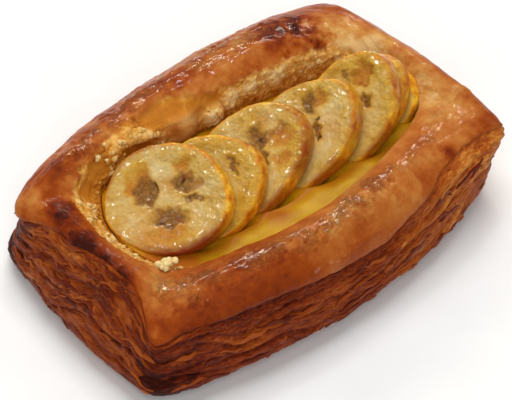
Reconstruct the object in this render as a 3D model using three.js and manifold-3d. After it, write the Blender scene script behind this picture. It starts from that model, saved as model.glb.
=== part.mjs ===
// A banana custard Danish: a puffed, laminated pastry case with four pulled corners and a long
// well, custard set in the well, and seven banana slices leaning on each other down its length.
// Millimetres, +Z up, +X along the pastry. The case stands on its flat underside at z = 0, and the
// finished group is centred on its footprint.
import * as THREE from "three";
import { mergeVertices } from "three/addons/utils/BufferGeometryUtils.js";
import Module from "manifold-3d";

// Four-sided outlines seen from above. Corners run near left, near right, far right, far left, and
// bows are how far the near, right, far and left sides swell past the straight line between them.
// A lean over 1 moves a side's swelling towards its end, and a low fullness squares it off.
const SHEET_EDGE = {
  corners: [[-51, -22.5], [55.7, -27], [53.3, 32.6], [-48.9, 28.4]],
  bows: [7, 1.6, 9.4, -1.5],
  leans: [1, 1, 1.15, 1],
  fullness: 0.55,
  rounding: 2.5,
};
const WIDEST = {
  corners: [[-51.6, -24.2], [51.5, -26.5], [51.5, 33], [-49, 31.2]],
  bows: [11.2, 2.5, 7, 4.5],
  leans: [1, 1, 1.2, 1],
  fullness: 0.8,
  rounding: 5,
};
const FOOT = {
  corners: [[-47, -20.2], [47, -22], [46, 28.5], [-45, 27.5]],
  bows: [9, 3, 6, 4],
  leans: [1, 1, 1.1, 1],
  fullness: 0.8,
  rounding: 8,
};
const WELL_MOUTH = {
  corners: [[-35, -9], [46.5, -9], [46.5, 14.5], [-35.5, 22.5]],
  bows: [10, 3, 4.2, 4],
  leans: [1, 1, 1, 1],
  fullness: 1,
  rounding: 6,
};
const WELL_CENTRE = new THREE.Vector2(4.5, 2.5);
const STATIONS = [30, 18, 30, 18]; // points along the near, right, far and left sides

// Heights above the underside. A list has a value for the middle of each side.
const CORNER_HEIGHT = 17.5;
const SHEET_EDGE_HEIGHTS = [20, 18.5, 19.5, 17.8];
const CORNER_CREST = 21;
const CREST_HEIGHTS = [23.6, 22.6, 25.4, 22.8];
const CREST_WAVE = 0.5;
const MOUTH_HEIGHT = 21.2; // the wall of the well starts about here
const MOUTH_DROP = 2.4; // from the crest of the rim to the mouth of the well
const WELL_FLOOR = 6;
const CUSTARD_LEVEL = 15;
const CUSTARD_DOME = 0.8;

// The rim, from the sheet's edge (share 0) over its crest to the mouth of the well (share 1).
const CREST_SHARE = 0.6;
const RIM_SHARES = [0, 0.1, 0.26, 0.45, CREST_SHARE, 0.8, 1];
const SHOULDER_ROUNDNESS = 2.2;
const BLISTER_HEIGHT = 0.45;

// The wall of the well: its lean for each millimetre of depth, how ragged its torn upper part is,
// and one bubble of dough that swells out of the far wall. The left end tore back, and its wall
// slopes like a shelf down to the first slice: its lean grows from one x to the other, and below
// the custard's level the wall goes down as elsewhere.
const WALL_LEAN = 0.14;
const TORN_SHELF = { lean: 0.75, startX: -27, fullX: -37 };
const TORN_HEIGHTS = [19.5, 17.2];
const TORN_DEPTH = 0.7;
const WALL_BUBBLE = { x: -2.5, y: 24.2, radius: 5, proud: 2.2 };

// The layers that show on the sides. A lip is a share of its layer's height and how far the dough
// stands out there, as a share of the relief: a deep crease, then a rounded edge.
const LAYERS = 6;
const LAYER_RELIEF = 1.3;
const LAYER_LIPS = [[0.04, -0.75], [0.34, 0.85], [0.8, 0.55]];
const LAYER_WANDER = 0.025; // how far a layer wanders up and down, as a share of the side's height
const BULGE_SHARE = 0.3; // where the side is widest, as a share of its height
const UPPER_SIDE_CURVE = 1.3;

// Each slice: centre of its upper face, tilt and turn in degrees, half length, half width, turn of
// the long axis in the face, and thickness.
const SLICES = [
  { at: [-21.9, 6.7, 21.5], tilt: 27, turn: 8, long: 15.5, wide: 13.4, spin: -69, thick: 5.0 },
  { at: [-13.1, 5.1, 18.8], tilt: 27, turn: 5, long: 15.9, wide: 13.2, spin: -15, thick: 4.6 },
  { at: [0.1, 5.0, 18.8], tilt: 28, turn: -5, long: 17.2, wide: 13.3, spin: 2, thick: 5.0 },
  { at: [14.6, 2.2, 20.0], tilt: 30, turn: -5, long: 16.7, wide: 12.2, spin: 6, thick: 5.2 },
  { at: [28.4, 0.3, 20.6], tilt: 34, turn: 2, long: 15.6, wide: 11.2, spin: 10, thick: 4.6 },
  { at: [35.3, 2.4, 18.5], tilt: 38, turn: 0, long: 11.6, wide: 11.0, spin: -2, thick: 3.4 },
  { at: [40.1, 0.4, 16.9], tilt: 40, turn: 0, long: 8.2, wide: 9.0, spin: 4, thick: 3.2 },
];
const SLICE_SLANT = 1.2; // the banana is cut at a slant, so the under face sits up the slope
const SLICE_DISH = 0.5; // the soft middle of a baked slice sinks
const SLICE_EDGE = 0.7; // how far the rounded edge starts below the face
const SLICE_POINTS = 26;
const SLICE_UNEVEN = 0.025;

const GAP = 0.35; // clearance between touching pieces
const TURN = 2 * Math.PI;
const SIDES = 4;
const { degToRad, lerp, clamp, smoothstep } = THREE.MathUtils;

// A smooth uneven wave round a closed loop, between about -1 and 1. Each seed gives its own wave.
function unevenness(share, seed, waves = [3, 5, 8]) {
  const sum = waves.reduce((total, count, i) => {
    const phase = seed * (2.3 + 1.7 * i);
    return total + Math.sin(TURN * count * share + phase) / (1 + 0.5 * i);
  }, 0);
  return sum / 1.6;
}

function sideEnds({ corners }, side) {
  const wrapped = (side + SIDES) % SIDES;
  const from = new THREE.Vector2(...corners[wrapped]);
  const to = new THREE.Vector2(...corners[(wrapped + 1) % SIDES]);
  return { wrapped, from, to, length: from.distanceTo(to) };
}

// A point on a bowed outline with sharp corners. u goes once round from 0 to 4, a side for each 1.
function bowedPoint(outline, u) {
  const { wrapped, from, to } = sideEnds(outline, Math.floor(u));
  const share = u - Math.floor(u);
  const along = to.clone().sub(from);
  const outward = new THREE.Vector2(along.y, -along.x).normalize();
  const swell = 1 - (2 * share ** outline.leans[wrapped] - 1) ** 2;
  return from
    .addScaledVector(along, share)
    .addScaledVector(outward, outline.bows[wrapped] * swell ** outline.fullness);
}

// Where u gets to after a distance along the outline, forwards or back, past one corner at most.
function walk(outline, u, distance) {
  const side = Math.floor(u);
  const here = sideEnds(outline, side).length;
  const ahead = (1 - (u - side)) * here;
  const behind = (u - side) * here;
  if (distance > ahead) return side + 1 + (distance - ahead) / sideEnds(outline, side + 1).length;
  if (distance < -behind) return side + (distance + behind) / sideEnds(outline, side - 1).length;
  return u + distance / here;
}

// The outline with its corners rounded: the mean of the points within the rounding either way.
function outlinePoint(outline, u) {
  const steps = 6;
  const mean = new THREE.Vector2();
  for (let k = -steps; k <= steps; k++) {
    const near = walk(outline, u, (outline.rounding * k) / steps);
    mean.add(bowedPoint(outline, (near + SIDES) % SIDES));
  }
  return mean.divideScalar(2 * steps + 1);
}

// Every station round the case, with its outlines and heights.
const stations = STATIONS.flatMap((count, side) =>
  Array.from({ length: count }, (_, i) => {
    const u = side + i / count;
    const rise = 1 - Math.abs((2 * i) / count - 1) ** 2.6;
    return {
      round: u / SIDES,
      foot: outlinePoint(FOOT, u),
      widest: outlinePoint(WIDEST, u),
      edge: outlinePoint(SHEET_EDGE, u),
      mouth: outlinePoint(WELL_MOUTH, u),
      edgeHeight: lerp(CORNER_HEIGHT, SHEET_EDGE_HEIGHTS[side], rise),
      crestHeight:
        lerp(CORNER_CREST, CREST_HEIGHTS[side], rise) + CREST_WAVE * unevenness(u / SIDES, 4),
    };
  }),
);

const ringOf = (pointAt) => stations.map(pointAt);
const middleAt = (height) => new THREE.Vector3(WELL_CENTRE.x, WELL_CENTRE.y, height);
const raised = (plan, height) => new THREE.Vector3(plan.x, plan.y, height);

// A plan point moved straight away from the middle of the well.
function pushedOut(plan, distance) {
  const outward = plan.clone().sub(WELL_CENTRE).normalize();
  return plan.clone().addScaledVector(outward, distance);
}

// A closed surface through rings of points, capped at both ends by a fan to a middle point.
function surfaceThroughRings(rings, firstMiddle, lastMiddle) {
  const count = rings[0].length;
  const positions = [...rings.flat(), firstMiddle, lastMiddle].flatMap((p) => p.toArray());
  const index = [];
  const first = rings.length * count;
  const last = first + 1;
  const lastRing = first - count;
  for (let i = 0; i < count; i++) {
    const next = (i + 1) % count;
    index.push(first, next, i);
    for (let start = 0; start < lastRing; start += count) {
      const [a, b] = [start + i, start + next];
      index.push(a, b, b + count, a, b + count, a + count);
    }
    index.push(last, lastRing + i, lastRing + next);
  }
  const geometry = new THREE.BufferGeometry();
  geometry.setAttribute("position", new THREE.Float32BufferAttribute(positions, 3));
  geometry.setIndex(index);
  return geometry;
}

// The side of the case at a station, from the foot (share 0) to the top sheet's edge (share 1).
function sidePoint(station, share, relief) {
  const { foot, widest, edge, edgeHeight, round } = station;
  const wander = LAYER_WANDER * unevenness(round, 11 + Math.round(share * LAYERS));
  const height = clamp(share + wander * Math.sin(Math.PI * share), 0, 1) * edgeHeight;
  const above = Math.max(0, (share - BULGE_SHARE) / (1 - BULGE_SHARE));
  const below = Math.min(1, share / BULGE_SHARE);
  const plan = foot
    .clone()
    .lerp(widest, Math.sin((Math.PI / 2) * below))
    .lerp(edge, above ** UPPER_SIDE_CURVE);
  return raised(pushedOut(plan, relief), height);
}

function layerRings() {
  const rings = [];
  for (let layer = 0; layer < LAYERS; layer++) {
    for (const [within, standsOut] of LAYER_LIPS) {
      const share = (layer + within) / LAYERS;
      const ring = ringOf((station) => {
        const uneven = 1 + 0.45 * unevenness(station.round, 30 + layer, [4, 7, 13]);
        return sidePoint(station, share, LAYER_RELIEF * standsOut * uneven);
      });
      rings.push(ring);
    }
  }
  return rings.slice(1); // the flat foot takes the place of the first crease
}

// The glazed top of the rim at a station.
function rimPoint({ edge, mouth, edgeHeight, crestHeight, round }, share) {
  const toCrest = Math.min(1, share / CREST_SHARE);
  const pastCrest = Math.max(0, (share - CREST_SHARE) / (1 - CREST_SHARE));
  const shoulder = lerp(edgeHeight, crestHeight, 1 - (1 - toCrest) ** SHOULDER_ROUNDNESS);
  const blister = BLISTER_HEIGHT * unevenness(round, 20 + 7 * share, [7, 11, 17]);
  const height = shoulder - MOUTH_DROP * pastCrest ** 2 + blister * Math.sin(Math.PI * share);
  return raised(edge.clone().lerp(mouth, share), height);
}

// The wall of the well at a height, moved out of the pastry towards the middle by an inset.
function wallPoint({ mouth }, height, inset = 0) {
  const { lean, startX, fullX } = TORN_SHELF;
  const onShelf = smoothstep(-mouth.x, -startX, -fullX);
  const shelf = (lean - WALL_LEAN) * onShelf * (MOUTH_HEIGHT - Math.max(height, CUSTARD_LEVEL));
  const inwards = WALL_LEAN * (MOUTH_HEIGHT - height) + shelf;
  return raised(pushedOut(mouth, -inwards - inset), height);
}

function tornWallPoint(station, height) {
  const ragged = TORN_DEPTH * unevenness(station.round, height, [9, 14, 23]);
  const { x, y, radius, proud } = WALL_BUBBLE;
  const away = Math.hypot(station.mouth.x - x, station.mouth.y - y) / radius;
  return wallPoint(station, height, ragged + proud * Math.exp(-(away ** 2)));
}

// The pastry case: rings from the underside up the layered sides, over the rim and down the well.
function pastryCase() {
  const underside = ringOf(({ foot }) => raised(foot.clone().lerp(WELL_CENTRE, 0.4), 0));
  const rings = [
    underside,
    ringOf(({ foot }) => raised(foot, 0)),
    ...layerRings(),
    ...RIM_SHARES.map((share) => ringOf((station) => rimPoint(station, share))),
    ...TORN_HEIGHTS.map((height) => ringOf((station) => tornWallPoint(station, height))),
    ringOf((station) => wallPoint(station, CUSTARD_LEVEL)),
    ringOf((station) => wallPoint(station, WELL_FLOOR)),
  ];
  return surfaceThroughRings(rings, middleAt(0), middleAt(WELL_FLOOR));
}

// The custard before the slices press into it: it fills the well to its level, a gap inside the
// wall, with a softly domed top.
function custardFilling() {
  const bottom = WELL_FLOOR + GAP;
  const topRing = (towardsMiddle, height) =>
    ringOf((station) => {
      const edge = wallPoint(station, CUSTARD_LEVEL, GAP);
      return raised(new THREE.Vector2(edge.x, edge.y).lerp(WELL_CENTRE, towardsMiddle), height);
    });
  const rings = [
    ringOf((station) => wallPoint(station, bottom, GAP)),
    topRing(0, CUSTARD_LEVEL),
    topRing(0.12, CUSTARD_LEVEL + 0.6 * CUSTARD_DOME),
    topRing(0.5, CUSTARD_LEVEL + CUSTARD_DOME),
  ];
  return surfaceThroughRings(rings, middleAt(bottom), middleAt(CUSTARD_LEVEL + CUSTARD_DOME));
}

// A banana slice in its own frame, its upper face at z = 0. Grown by an allowance, it is the hollow
// that the slice presses into the custard.
function sliceBody({ long, wide, spin, thick }, allowance = 0) {
  // from the under face to the upper one: share of the radius, and depth below the upper face
  const profile = [
    [0.6, thick],
    [0.98, thick - 0.6 * SLICE_EDGE],
    [1.02, 0.55 * thick],
    [1, SLICE_EDGE],
    [0.88, 0.15 * SLICE_EDGE],
    [0.5, 0.7 * SLICE_DISH],
  ];
  const origin = new THREE.Vector2();
  const rings = profile.map(([share, depth]) =>
    Array.from({ length: SLICE_POINTS }, (_, i) => {
      const angle = (TURN * i) / SLICE_POINTS;
      const uneven = 1 + SLICE_UNEVEN * unevenness(i / SLICE_POINTS, long + wide, [2, 3, 5]);
      const plan = new THREE.Vector2(
        (long * share * uneven + allowance) * Math.cos(angle),
        (wide * share * uneven + allowance) * Math.sin(angle),
      ).rotateAround(origin, degToRad(spin));
      const grown = depth > thick / 2 ? -allowance : allowance;
      return new THREE.Vector3(plan.x + (SLICE_SLANT * depth) / thick, plan.y, grown - depth);
    }),
  );
  const below = new THREE.Vector3(SLICE_SLANT, 0, -thick - allowance);
  const above = new THREE.Vector3(0, 0, allowance - SLICE_DISH);
  return surfaceThroughRings(rings, below, above);
}

// Sets a slice on its place in the row: leaning back towards -X, then turned about +Z.
function placeSlice(mesh, { at, tilt, turn }) {
  mesh.position.set(...at);
  mesh.rotation.set(0, -degToRad(tilt), degToRad(turn), "ZYX");
  mesh.updateMatrixWorld(true);
  return mesh;
}

const wasm = await Module();
wasm.setup();

// A mesh as a manifold-3d solid, in the place where it stands.
function solidOf(mesh) {
  const bare = mesh.geometry.clone().applyMatrix4(mesh.matrixWorld);
  bare.deleteAttribute("normal");
  bare.deleteAttribute("uv");
  const merged = mergeVertices(bare, 1e-4);
  const vertProperties = merged.attributes.position.array;
  const triVerts = new Uint32Array(merged.index.array);
  return new wasm.Manifold(new wasm.Mesh({ numProp: 3, vertProperties, triVerts }));
}

function geometryOf(solid) {
  const { vertProperties, triVerts } = solid.getMesh();
  const geometry = new THREE.BufferGeometry();
  geometry.setAttribute("position", new THREE.BufferAttribute(vertProperties, 3));
  geometry.setIndex(new THREE.BufferAttribute(triVerts, 1));
  return geometry;
}

// The custard with every slice's hollow pressed into it, kept as its largest body.
function pressedCustard() {
  let custard = solidOf(new THREE.Mesh(custardFilling()));
  for (const slice of SLICES) {
    const hollow = placeSlice(new THREE.Mesh(sliceBody(slice, GAP)), slice);
    custard = custard.subtract(solidOf(hollow));
  }
  const bodies = custard.decompose().sort((a, b) => b.volume() - a.volume());
  return geometryOf(bodies[0]);
}

function foodMaterial(color, roughness) {
  return new THREE.MeshStandardMaterial({ color, roughness, metalness: 0 });
}

function namedMesh(name, geometry, material) {
  geometry.computeVertexNormals();
  const mesh = new THREE.Mesh(geometry, material);
  mesh.name = name;
  return mesh;
}

const danish = new THREE.Group();
danish.add(namedMesh("pastry_case", pastryCase(), foodMaterial(0xb8702c, 0.35)));
danish.add(namedMesh("custard", pressedCustard(), foodMaterial(0xdcaa30, 0.3)));
SLICES.forEach((slice, i) => {
  const banana = foodMaterial(0xd8bf7e, 0.35);
  danish.add(placeSlice(namedMesh(`banana_slice_${i + 1}`, sliceBody(slice), banana), slice));
});

const footprint = new THREE.Box3().setFromObject(danish).getCenter(new THREE.Vector3());
danish.position.set(-footprint.x, -footprint.y, 0);

export default danish;
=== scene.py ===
# %% [markdown]
# # A banana custard Danish
# This lesson dresses a plain solid model of a banana custard Danish so that it looks baked.
# The solid model gives the true sizes, and this script never moves it. Each solid is hidden
# and a finely shaped piece with a baked finish stands in its place.

# %% Load the solid model
import itertools
import math

import bpy
import numpy as np
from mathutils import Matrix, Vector


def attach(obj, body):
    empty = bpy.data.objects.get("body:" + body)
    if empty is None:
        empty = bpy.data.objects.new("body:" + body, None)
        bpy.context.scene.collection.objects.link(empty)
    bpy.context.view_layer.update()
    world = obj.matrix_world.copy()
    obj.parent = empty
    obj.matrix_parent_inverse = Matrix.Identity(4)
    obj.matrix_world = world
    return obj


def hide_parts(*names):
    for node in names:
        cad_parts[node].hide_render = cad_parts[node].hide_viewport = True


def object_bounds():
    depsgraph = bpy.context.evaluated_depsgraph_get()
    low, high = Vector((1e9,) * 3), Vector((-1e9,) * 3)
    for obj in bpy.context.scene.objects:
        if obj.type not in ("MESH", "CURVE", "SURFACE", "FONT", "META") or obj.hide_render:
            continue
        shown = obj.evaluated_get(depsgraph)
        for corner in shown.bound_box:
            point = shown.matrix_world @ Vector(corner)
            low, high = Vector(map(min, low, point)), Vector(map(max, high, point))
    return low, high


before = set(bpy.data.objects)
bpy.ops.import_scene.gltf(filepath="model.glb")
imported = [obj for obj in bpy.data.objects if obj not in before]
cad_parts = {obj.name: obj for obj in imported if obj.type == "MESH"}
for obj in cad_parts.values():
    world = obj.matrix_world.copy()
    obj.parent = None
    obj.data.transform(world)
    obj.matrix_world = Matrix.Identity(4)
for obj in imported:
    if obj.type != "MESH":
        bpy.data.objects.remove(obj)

solid_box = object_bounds()
print("solid model's box in metres:", solid_box)

# %% [markdown]
# ## Millimetres and soft noise
# Pastry is easiest to think of in millimetres, so every shape below is drawn in millimetres
# and moved to metres at the very end. Dough is never regular. A smooth random field, called
# gradient noise, gives unevenness that looks the same at every run because its table of
# slopes comes from one seeded draw.

# %% Units and noise
MILLIMETRE = 0.001
FOOTPRINT_CENTRE = np.array([0.683, 1.629, 0.0])  # the drawing's point that stands at the origin
SOLID_TOP = solid_box[1][2] / MILLIMETRE - 0.01  # nothing may stand above the solid model
TABLE_SIZE = 4096
TURN = 2 * math.pi

table_draw = np.random.default_rng(7)
SLOPES = table_draw.normal(size=(TABLE_SIZE, 3))
SLOPES /= np.linalg.norm(SLOPES, axis=1, keepdims=True)
SCRAMBLE = np.array([73856093, 19349663, 83492791])  # large primes mix up a cell's place
SEED_STEP = 40503
NOISE_SCALE = 1.6  # brings the noise to about -1 to 1


def soft_noise(points, seed):
    """Smooth noise from about -1 to 1, with bumps about one unit apart."""
    cell = np.floor(points).astype(np.int64)
    part = points - cell
    blend = part**3 * (part * (part * 6 - 15) + 10)
    total = np.zeros(points.shape[:-1])
    for corner in itertools.product((0, 1), repeat=3):
        mixed = (cell + corner) * SCRAMBLE
        key = (mixed[..., 0] ^ mixed[..., 1] ^ mixed[..., 2] ^ (seed * SEED_STEP)) % TABLE_SIZE
        weight = np.prod(np.where(corner, blend, 1 - blend), axis=-1)
        total += weight * np.sum(SLOPES[key] * (part - corner), axis=-1)
    return NOISE_SCALE * total


def rough_noise(points, seed, layers=3):
    """Soft noise with finer and fainter noise added on top of it."""
    total = sum(soft_noise(points * 2**i, seed + i) / 2**i for i in range(layers))
    return total / 1.5


def fade(low, high, value):
    """0 below low, 1 above high, and a smooth change between them."""
    share = np.clip((value - low) / (high - low), 0, 1)  # low may also be the higher number
    return share * share * (3 - 2 * share)


def blend_between(a, b, share):
    """From a, at share 0, to b, at share 1."""
    return a + (b - a) * share


print("noise ready, a sample:", float(soft_noise(np.array([0.3, 0.7, 0.2]), 1)))

# %% [markdown]
# ## The outlines of the case
# The case was folded from a square sheet, so from above it has four sides that bow out
# between four pulled corners. Four such outlines, at the foot, the widest part, the edge of
# the top and the mouth of the well, carry the whole form. They repeat the outlines of the
# solid model, so the fine piece stands exactly where the solid does.

# %% Outlines seen from above
SHEET_EDGE = dict(
    corners=[[-51, -22.5], [55.7, -27], [53.3, 32.6], [-48.9, 28.4]],
    bows=[7, 1.6, 9.4, -1.5], leans=[1, 1, 1.15, 1], fullness=0.55, rounding=2.5,
)
WIDEST = dict(
    corners=[[-51.6, -24.2], [51.5, -26.5], [51.5, 33], [-49, 31.2]],
    bows=[11.2, 2.5, 7, 4.5], leans=[1, 1, 1.2, 1], fullness=0.8, rounding=5,
)
FOOT = dict(
    corners=[[-47, -20.2], [47, -22], [46, 28.5], [-45, 27.5]],
    bows=[9, 3, 6, 4], leans=[1, 1, 1.1, 1], fullness=0.8, rounding=8,
)
WELL_MOUTH = dict(
    corners=[[-35, -9], [46.5, -9], [46.5, 14.5], [-35.5, 22.5]],
    bows=[10, 3, 4.2, 4], leans=[1, 1, 1, 1], fullness=1, rounding=6,
)
WELL_CENTRE = np.array([4.5, 2.5])
SIDES = 4


def side_of(outline, side):
    corners = np.array(outline["corners"], float)
    start, end = corners[side % SIDES], corners[(side + 1) % SIDES]
    return start, end, np.linalg.norm(end - start, axis=-1)


def bowed_points(outline, u):
    """Points on the bowed outline. u goes once round from 0 to 4, a side for each 1."""
    side = np.floor(u).astype(int) % SIDES
    share = u - np.floor(u)
    start, end, length = side_of(outline, side)
    along = (end - start) / length[:, None]
    outward = np.stack([along[:, 1], -along[:, 0]], axis=1)
    swell = 1 - (2 * share ** np.array(outline["leans"])[side] - 1) ** 2
    bow = np.array(outline["bows"])[side] * np.clip(swell, 0, None) ** outline["fullness"]
    return start + along * (share * length)[:, None] + outward * bow[:, None]


def walked(outline, u, distance):
    """Where u gets to after a distance along the outline."""
    side = np.floor(u).astype(int)
    here = side_of(outline, side)[2]
    following = side_of(outline, side + 1)[2]
    before = side_of(outline, side - 1)[2]
    ahead, behind = (1 - (u - side)) * here, (u - side) * here
    moved = u + distance / here
    moved = np.where(distance > ahead, side + 1 + (distance - ahead) / following, moved)
    moved = np.where(distance < -behind, side + (distance + behind) / before, moved)
    return moved % SIDES


def rounded_outline(outline, u, steps=6):
    """The outline with its corners rounded: the mean of the points close by."""
    reach = outline["rounding"] * np.arange(-steps, steps + 1) / steps
    return np.mean([bowed_points(outline, walked(outline, u, d)) for d in reach], axis=0)


print("four outlines round the middle of the well at", WELL_CENTRE.tolist(), "mm")

# %% [markdown]
# ## Stations round the case
# The fine mesh is a grid: stations go round the case and rows climb from the foot over the
# rim and down into the well. More stations lie on the longer sides, so that the squares of
# the grid come out about even.

# %% Stations
STATION_COUNTS = [196, 100, 190, 94]  # near, right, far and left side
CORNER_HEIGHT = 17.5
SHEET_EDGE_HEIGHTS = np.array([20, 18.5, 19.5, 17.8])
CORNER_CREST = 21
CREST_HEIGHTS = np.array([23.6, 22.6, 25.4, 22.8])
CREST_WAVE = 0.5
SIDE_ROUNDNESS = 2.6  # a high number keeps each side level until close to its corners

u = np.concatenate([side + np.arange(count) / count for side, count in enumerate(STATION_COUNTS)])
station_side = np.floor(u).astype(int)
rise = 1 - np.abs(2 * (u - station_side) - 1) ** SIDE_ROUNDNESS


def unevenness(share, seed, waves=(3, 5, 8)):
    """A smooth uneven wave round a closed loop, between about -1 and 1."""
    phases = [seed * (2.3 + 1.7 * i) for i in range(len(waves))]
    parts = [
        np.sin(TURN * count * share + phases[i]) / (1 + 0.5 * i) for i, count in enumerate(waves)
    ]
    return sum(parts) / 1.6


foot = rounded_outline(FOOT, u)
widest = rounded_outline(WIDEST, u)
sheet_edge = rounded_outline(SHEET_EDGE, u)
mouth = rounded_outline(WELL_MOUTH, u)
edge_height = blend_between(CORNER_HEIGHT, SHEET_EDGE_HEIGHTS[station_side], rise)
crest_height = blend_between(CORNER_CREST, CREST_HEIGHTS[station_side], rise)
crest_height = crest_height + CREST_WAVE * unevenness(u / SIDES, 4)
steps_round = np.linalg.norm(np.roll(sheet_edge, -1, axis=0) - sheet_edge, axis=1)
round_length = steps_round.sum()
round_angle = TURN * (np.cumsum(steps_round) - steps_round[0]) / round_length
print(f"{len(u)} stations round an edge of {round_length:.0f} mm")

# %% [markdown]
# ## The smooth form of the case
# One number, the climb, says how far up the surface a point is: 0 at the foot, 1 at the edge
# of the top, 2 at the mouth of the well and 3 where the custard meets the wall. The side
# swells at the widest outline, the rim rises to a soft crest and the wall leans in.

# %% Smooth form
BULGE_SHARE = 0.3
UPPER_SIDE_CURVE = 1.3
CREST_SHARE = 0.6
SHOULDER_ROUNDNESS = 2.2
MOUTH_HEIGHT = 21.2
MOUTH_DROP = 2.4
WALL_LEAN = 0.14
SHELF_LEAN = 0.75  # at the left end the wall tore back and slopes like a shelf
SHELF_FROM, SHELF_TO = 27, 37  # the lean grows between these distances to the left
CUSTARD_LEVEL = 15
WELL_FLOOR = 6


def pushed_out(plan, distance):
    """Plan points moved straight away from the middle of the well."""
    outward = plan - WELL_CENTRE
    outward /= np.linalg.norm(outward, axis=-1, keepdims=True)
    return plan + outward * distance[..., None]


def case_form(climb):
    """Points of the smooth form for a grid of climbs, one column for each station."""
    side = np.clip(climb, 0, 1)
    below = np.sin(math.pi / 2 * np.clip(side / BULGE_SHARE, 0, 1))[..., None]
    above = np.clip((side - BULGE_SHARE) / (1 - BULGE_SHARE), 0, 1)[..., None]
    plan = blend_between(foot, widest, below)
    plan = blend_between(plan, sheet_edge, above**UPPER_SIDE_CURVE)
    over = np.clip(climb - 1, 0, 1)
    plan = blend_between(plan, mouth, over[..., None])
    to_crest = np.clip(over / CREST_SHARE, 0, 1)
    past_crest = np.clip((over - CREST_SHARE) / (1 - CREST_SHARE), 0, 1)
    shoulder = blend_between(edge_height, crest_height, 1 - (1 - to_crest) ** SHOULDER_ROUNDNESS)
    height = np.where(climb < 1, side * edge_height, shoulder - MOUTH_DROP * past_crest**2)
    down = np.clip(climb - 2, 0, None)
    height = blend_between(height, CUSTARD_LEVEL, down)
    on_shelf = fade(SHELF_FROM, SHELF_TO, -mouth[:, 0])
    above_custard = MOUTH_HEIGHT - np.maximum(height, CUSTARD_LEVEL)
    shelf = (SHELF_LEAN - WALL_LEAN) * on_shelf * above_custard * fade(2, 2.1, climb)
    inwards = np.where(climb > 2, WALL_LEAN * (MOUTH_HEIGHT - height) + shelf, 0)
    return np.concatenate([pushed_out(plan, -inwards), height[..., None]], axis=-1)


print("crest heights in mm:", CREST_HEIGHTS.tolist())

# %% [markdown]
# ## Where the top sheet ends
# The glazed top sheet wraps over the shoulder and ends in a line on the sides. It hangs half
# way down the long sides, is pulled to each corner, and on the left end it has torn back
# almost to the crest, so that the layers show there. The line is given as a climb at a few
# places round the case and smoothed between them.

# %% The line where the top sheet ends
SHEET_LINE = [  # how far round, and how far up
    (0, 1.0), (0.05, 1.09), (0.1, 1.08), (0.16, 1.03), (0.22, 1.0), (0.28, 0.96), (0.35, 0.91),
    (0.42, 0.87), (0.5, 0.84), (0.59, 0.82), (0.66, 0.93), (0.72, 1.04), (0.78, 1.19),
    (0.87, 1.25), (0.95, 1.21), (1, 1.05), (1.1, 0.95), (1.5, 0.85), (1.9, 0.9), (2, 0.98),
    (2.2, 0.88), (2.5, 0.8), (2.85, 0.86), (3, 0.92), (3.1, 1.08), (3.19, 1.2), (3.3, 1.26),
    (3.36, 1.2), (3.43, 1.33), (3.6, 1.44), (3.83, 1.45), (3.89, 1.35), (3.94, 1.19),
    (3.99, 1.0), (4, 1.0),
]
LINE_RAGGED = 0.025
LINE_SMOOTHING = 3.5  # stations on each side that a value is smoothed over


def circle_points(along_scale, across, across_scale):
    """Noise coordinates that close up round the case: along the edge, then across it."""
    radius = round_length / TURN / along_scale
    around = np.stack([radius * np.cos(round_angle), radius * np.sin(round_angle)], axis=-1)
    across = np.broadcast_to(across, np.broadcast_shapes(np.shape(across), u.shape))
    around = np.broadcast_to(around, across.shape + (2,))
    return np.concatenate([around, across[..., None] / across_scale], axis=-1)


def line_round(knots):
    """A value round the case, given at a few places and smoothed between them."""
    places, values = np.array(knots, float).T
    kernel = np.exp(-(np.arange(-8, 9) / LINE_SMOOTHING) ** 2)
    line = np.tile(np.interp(u, places, values), 3)
    return np.convolve(line, kernel / kernel.sum(), "same")[len(u) : 2 * len(u)]


sheet_line = line_round(SHEET_LINE) + LINE_RAGGED * rough_noise(circle_points(4, 0.0, 1), 11)
print(f"the top sheet ends at climbs from {sheet_line.min():.2f} to {sheet_line.max():.2f}")

# %% [markdown]
# ## Rows of layers, then rows of the sheet
# Puff pastry shows its layers as long lips with sharp creases between them. Rows of the mesh
# are laid along each crease and each lip, so the creases stay sharp and can wander, thin out
# and swell with the layer. Bump alone would vanish on the outline.

# %% Rows of the grid
LAYERS = 6
# where the rows of one layer lie, and how far each row stands out
LIP_PLACES = np.array([0, 0.05, 0.13, 0.22, 0.32, 0.43, 0.54, 0.65, 0.76, 0.87, 0.95])
LIP_BULGE = np.array([-1, -0.2, 0.5, 0.85, 1, 0.95, 0.8, 0.6, 0.3, -0.05, -0.5])
LAYER_SWELL = 1.2  # how much a layer thickens and thins round the case
SHEET_ROWS = 52
SHEET_CROWDING = 1.15  # above 1 the rows crowd towards the edge of the sheet
WALL_ROWS = 24
LOWEST_CLIMB = 3.12  # the wall goes on a little below the custard

layer_number = np.repeat(np.arange(LAYERS), len(LIP_PLACES))
place_in_layer = np.tile(LIP_PLACES, LAYERS)
layer_swell = np.stack([
    soft_noise(circle_points(15, 0.0, 1) + k * 3.7, 40 + k) for k in range(LAYERS)
])
layer_weight = np.exp(LAYER_SWELL * layer_swell)
layer_top = np.cumsum(layer_weight, axis=0) / layer_weight.sum(axis=0)
layer_foot = np.vstack([np.zeros(len(u)), layer_top[:-1]])
layer_share = blend_between(
    layer_foot[layer_number], layer_top[layer_number], place_in_layer[:, None]
)
layer_climb = layer_share * sheet_line

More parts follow.
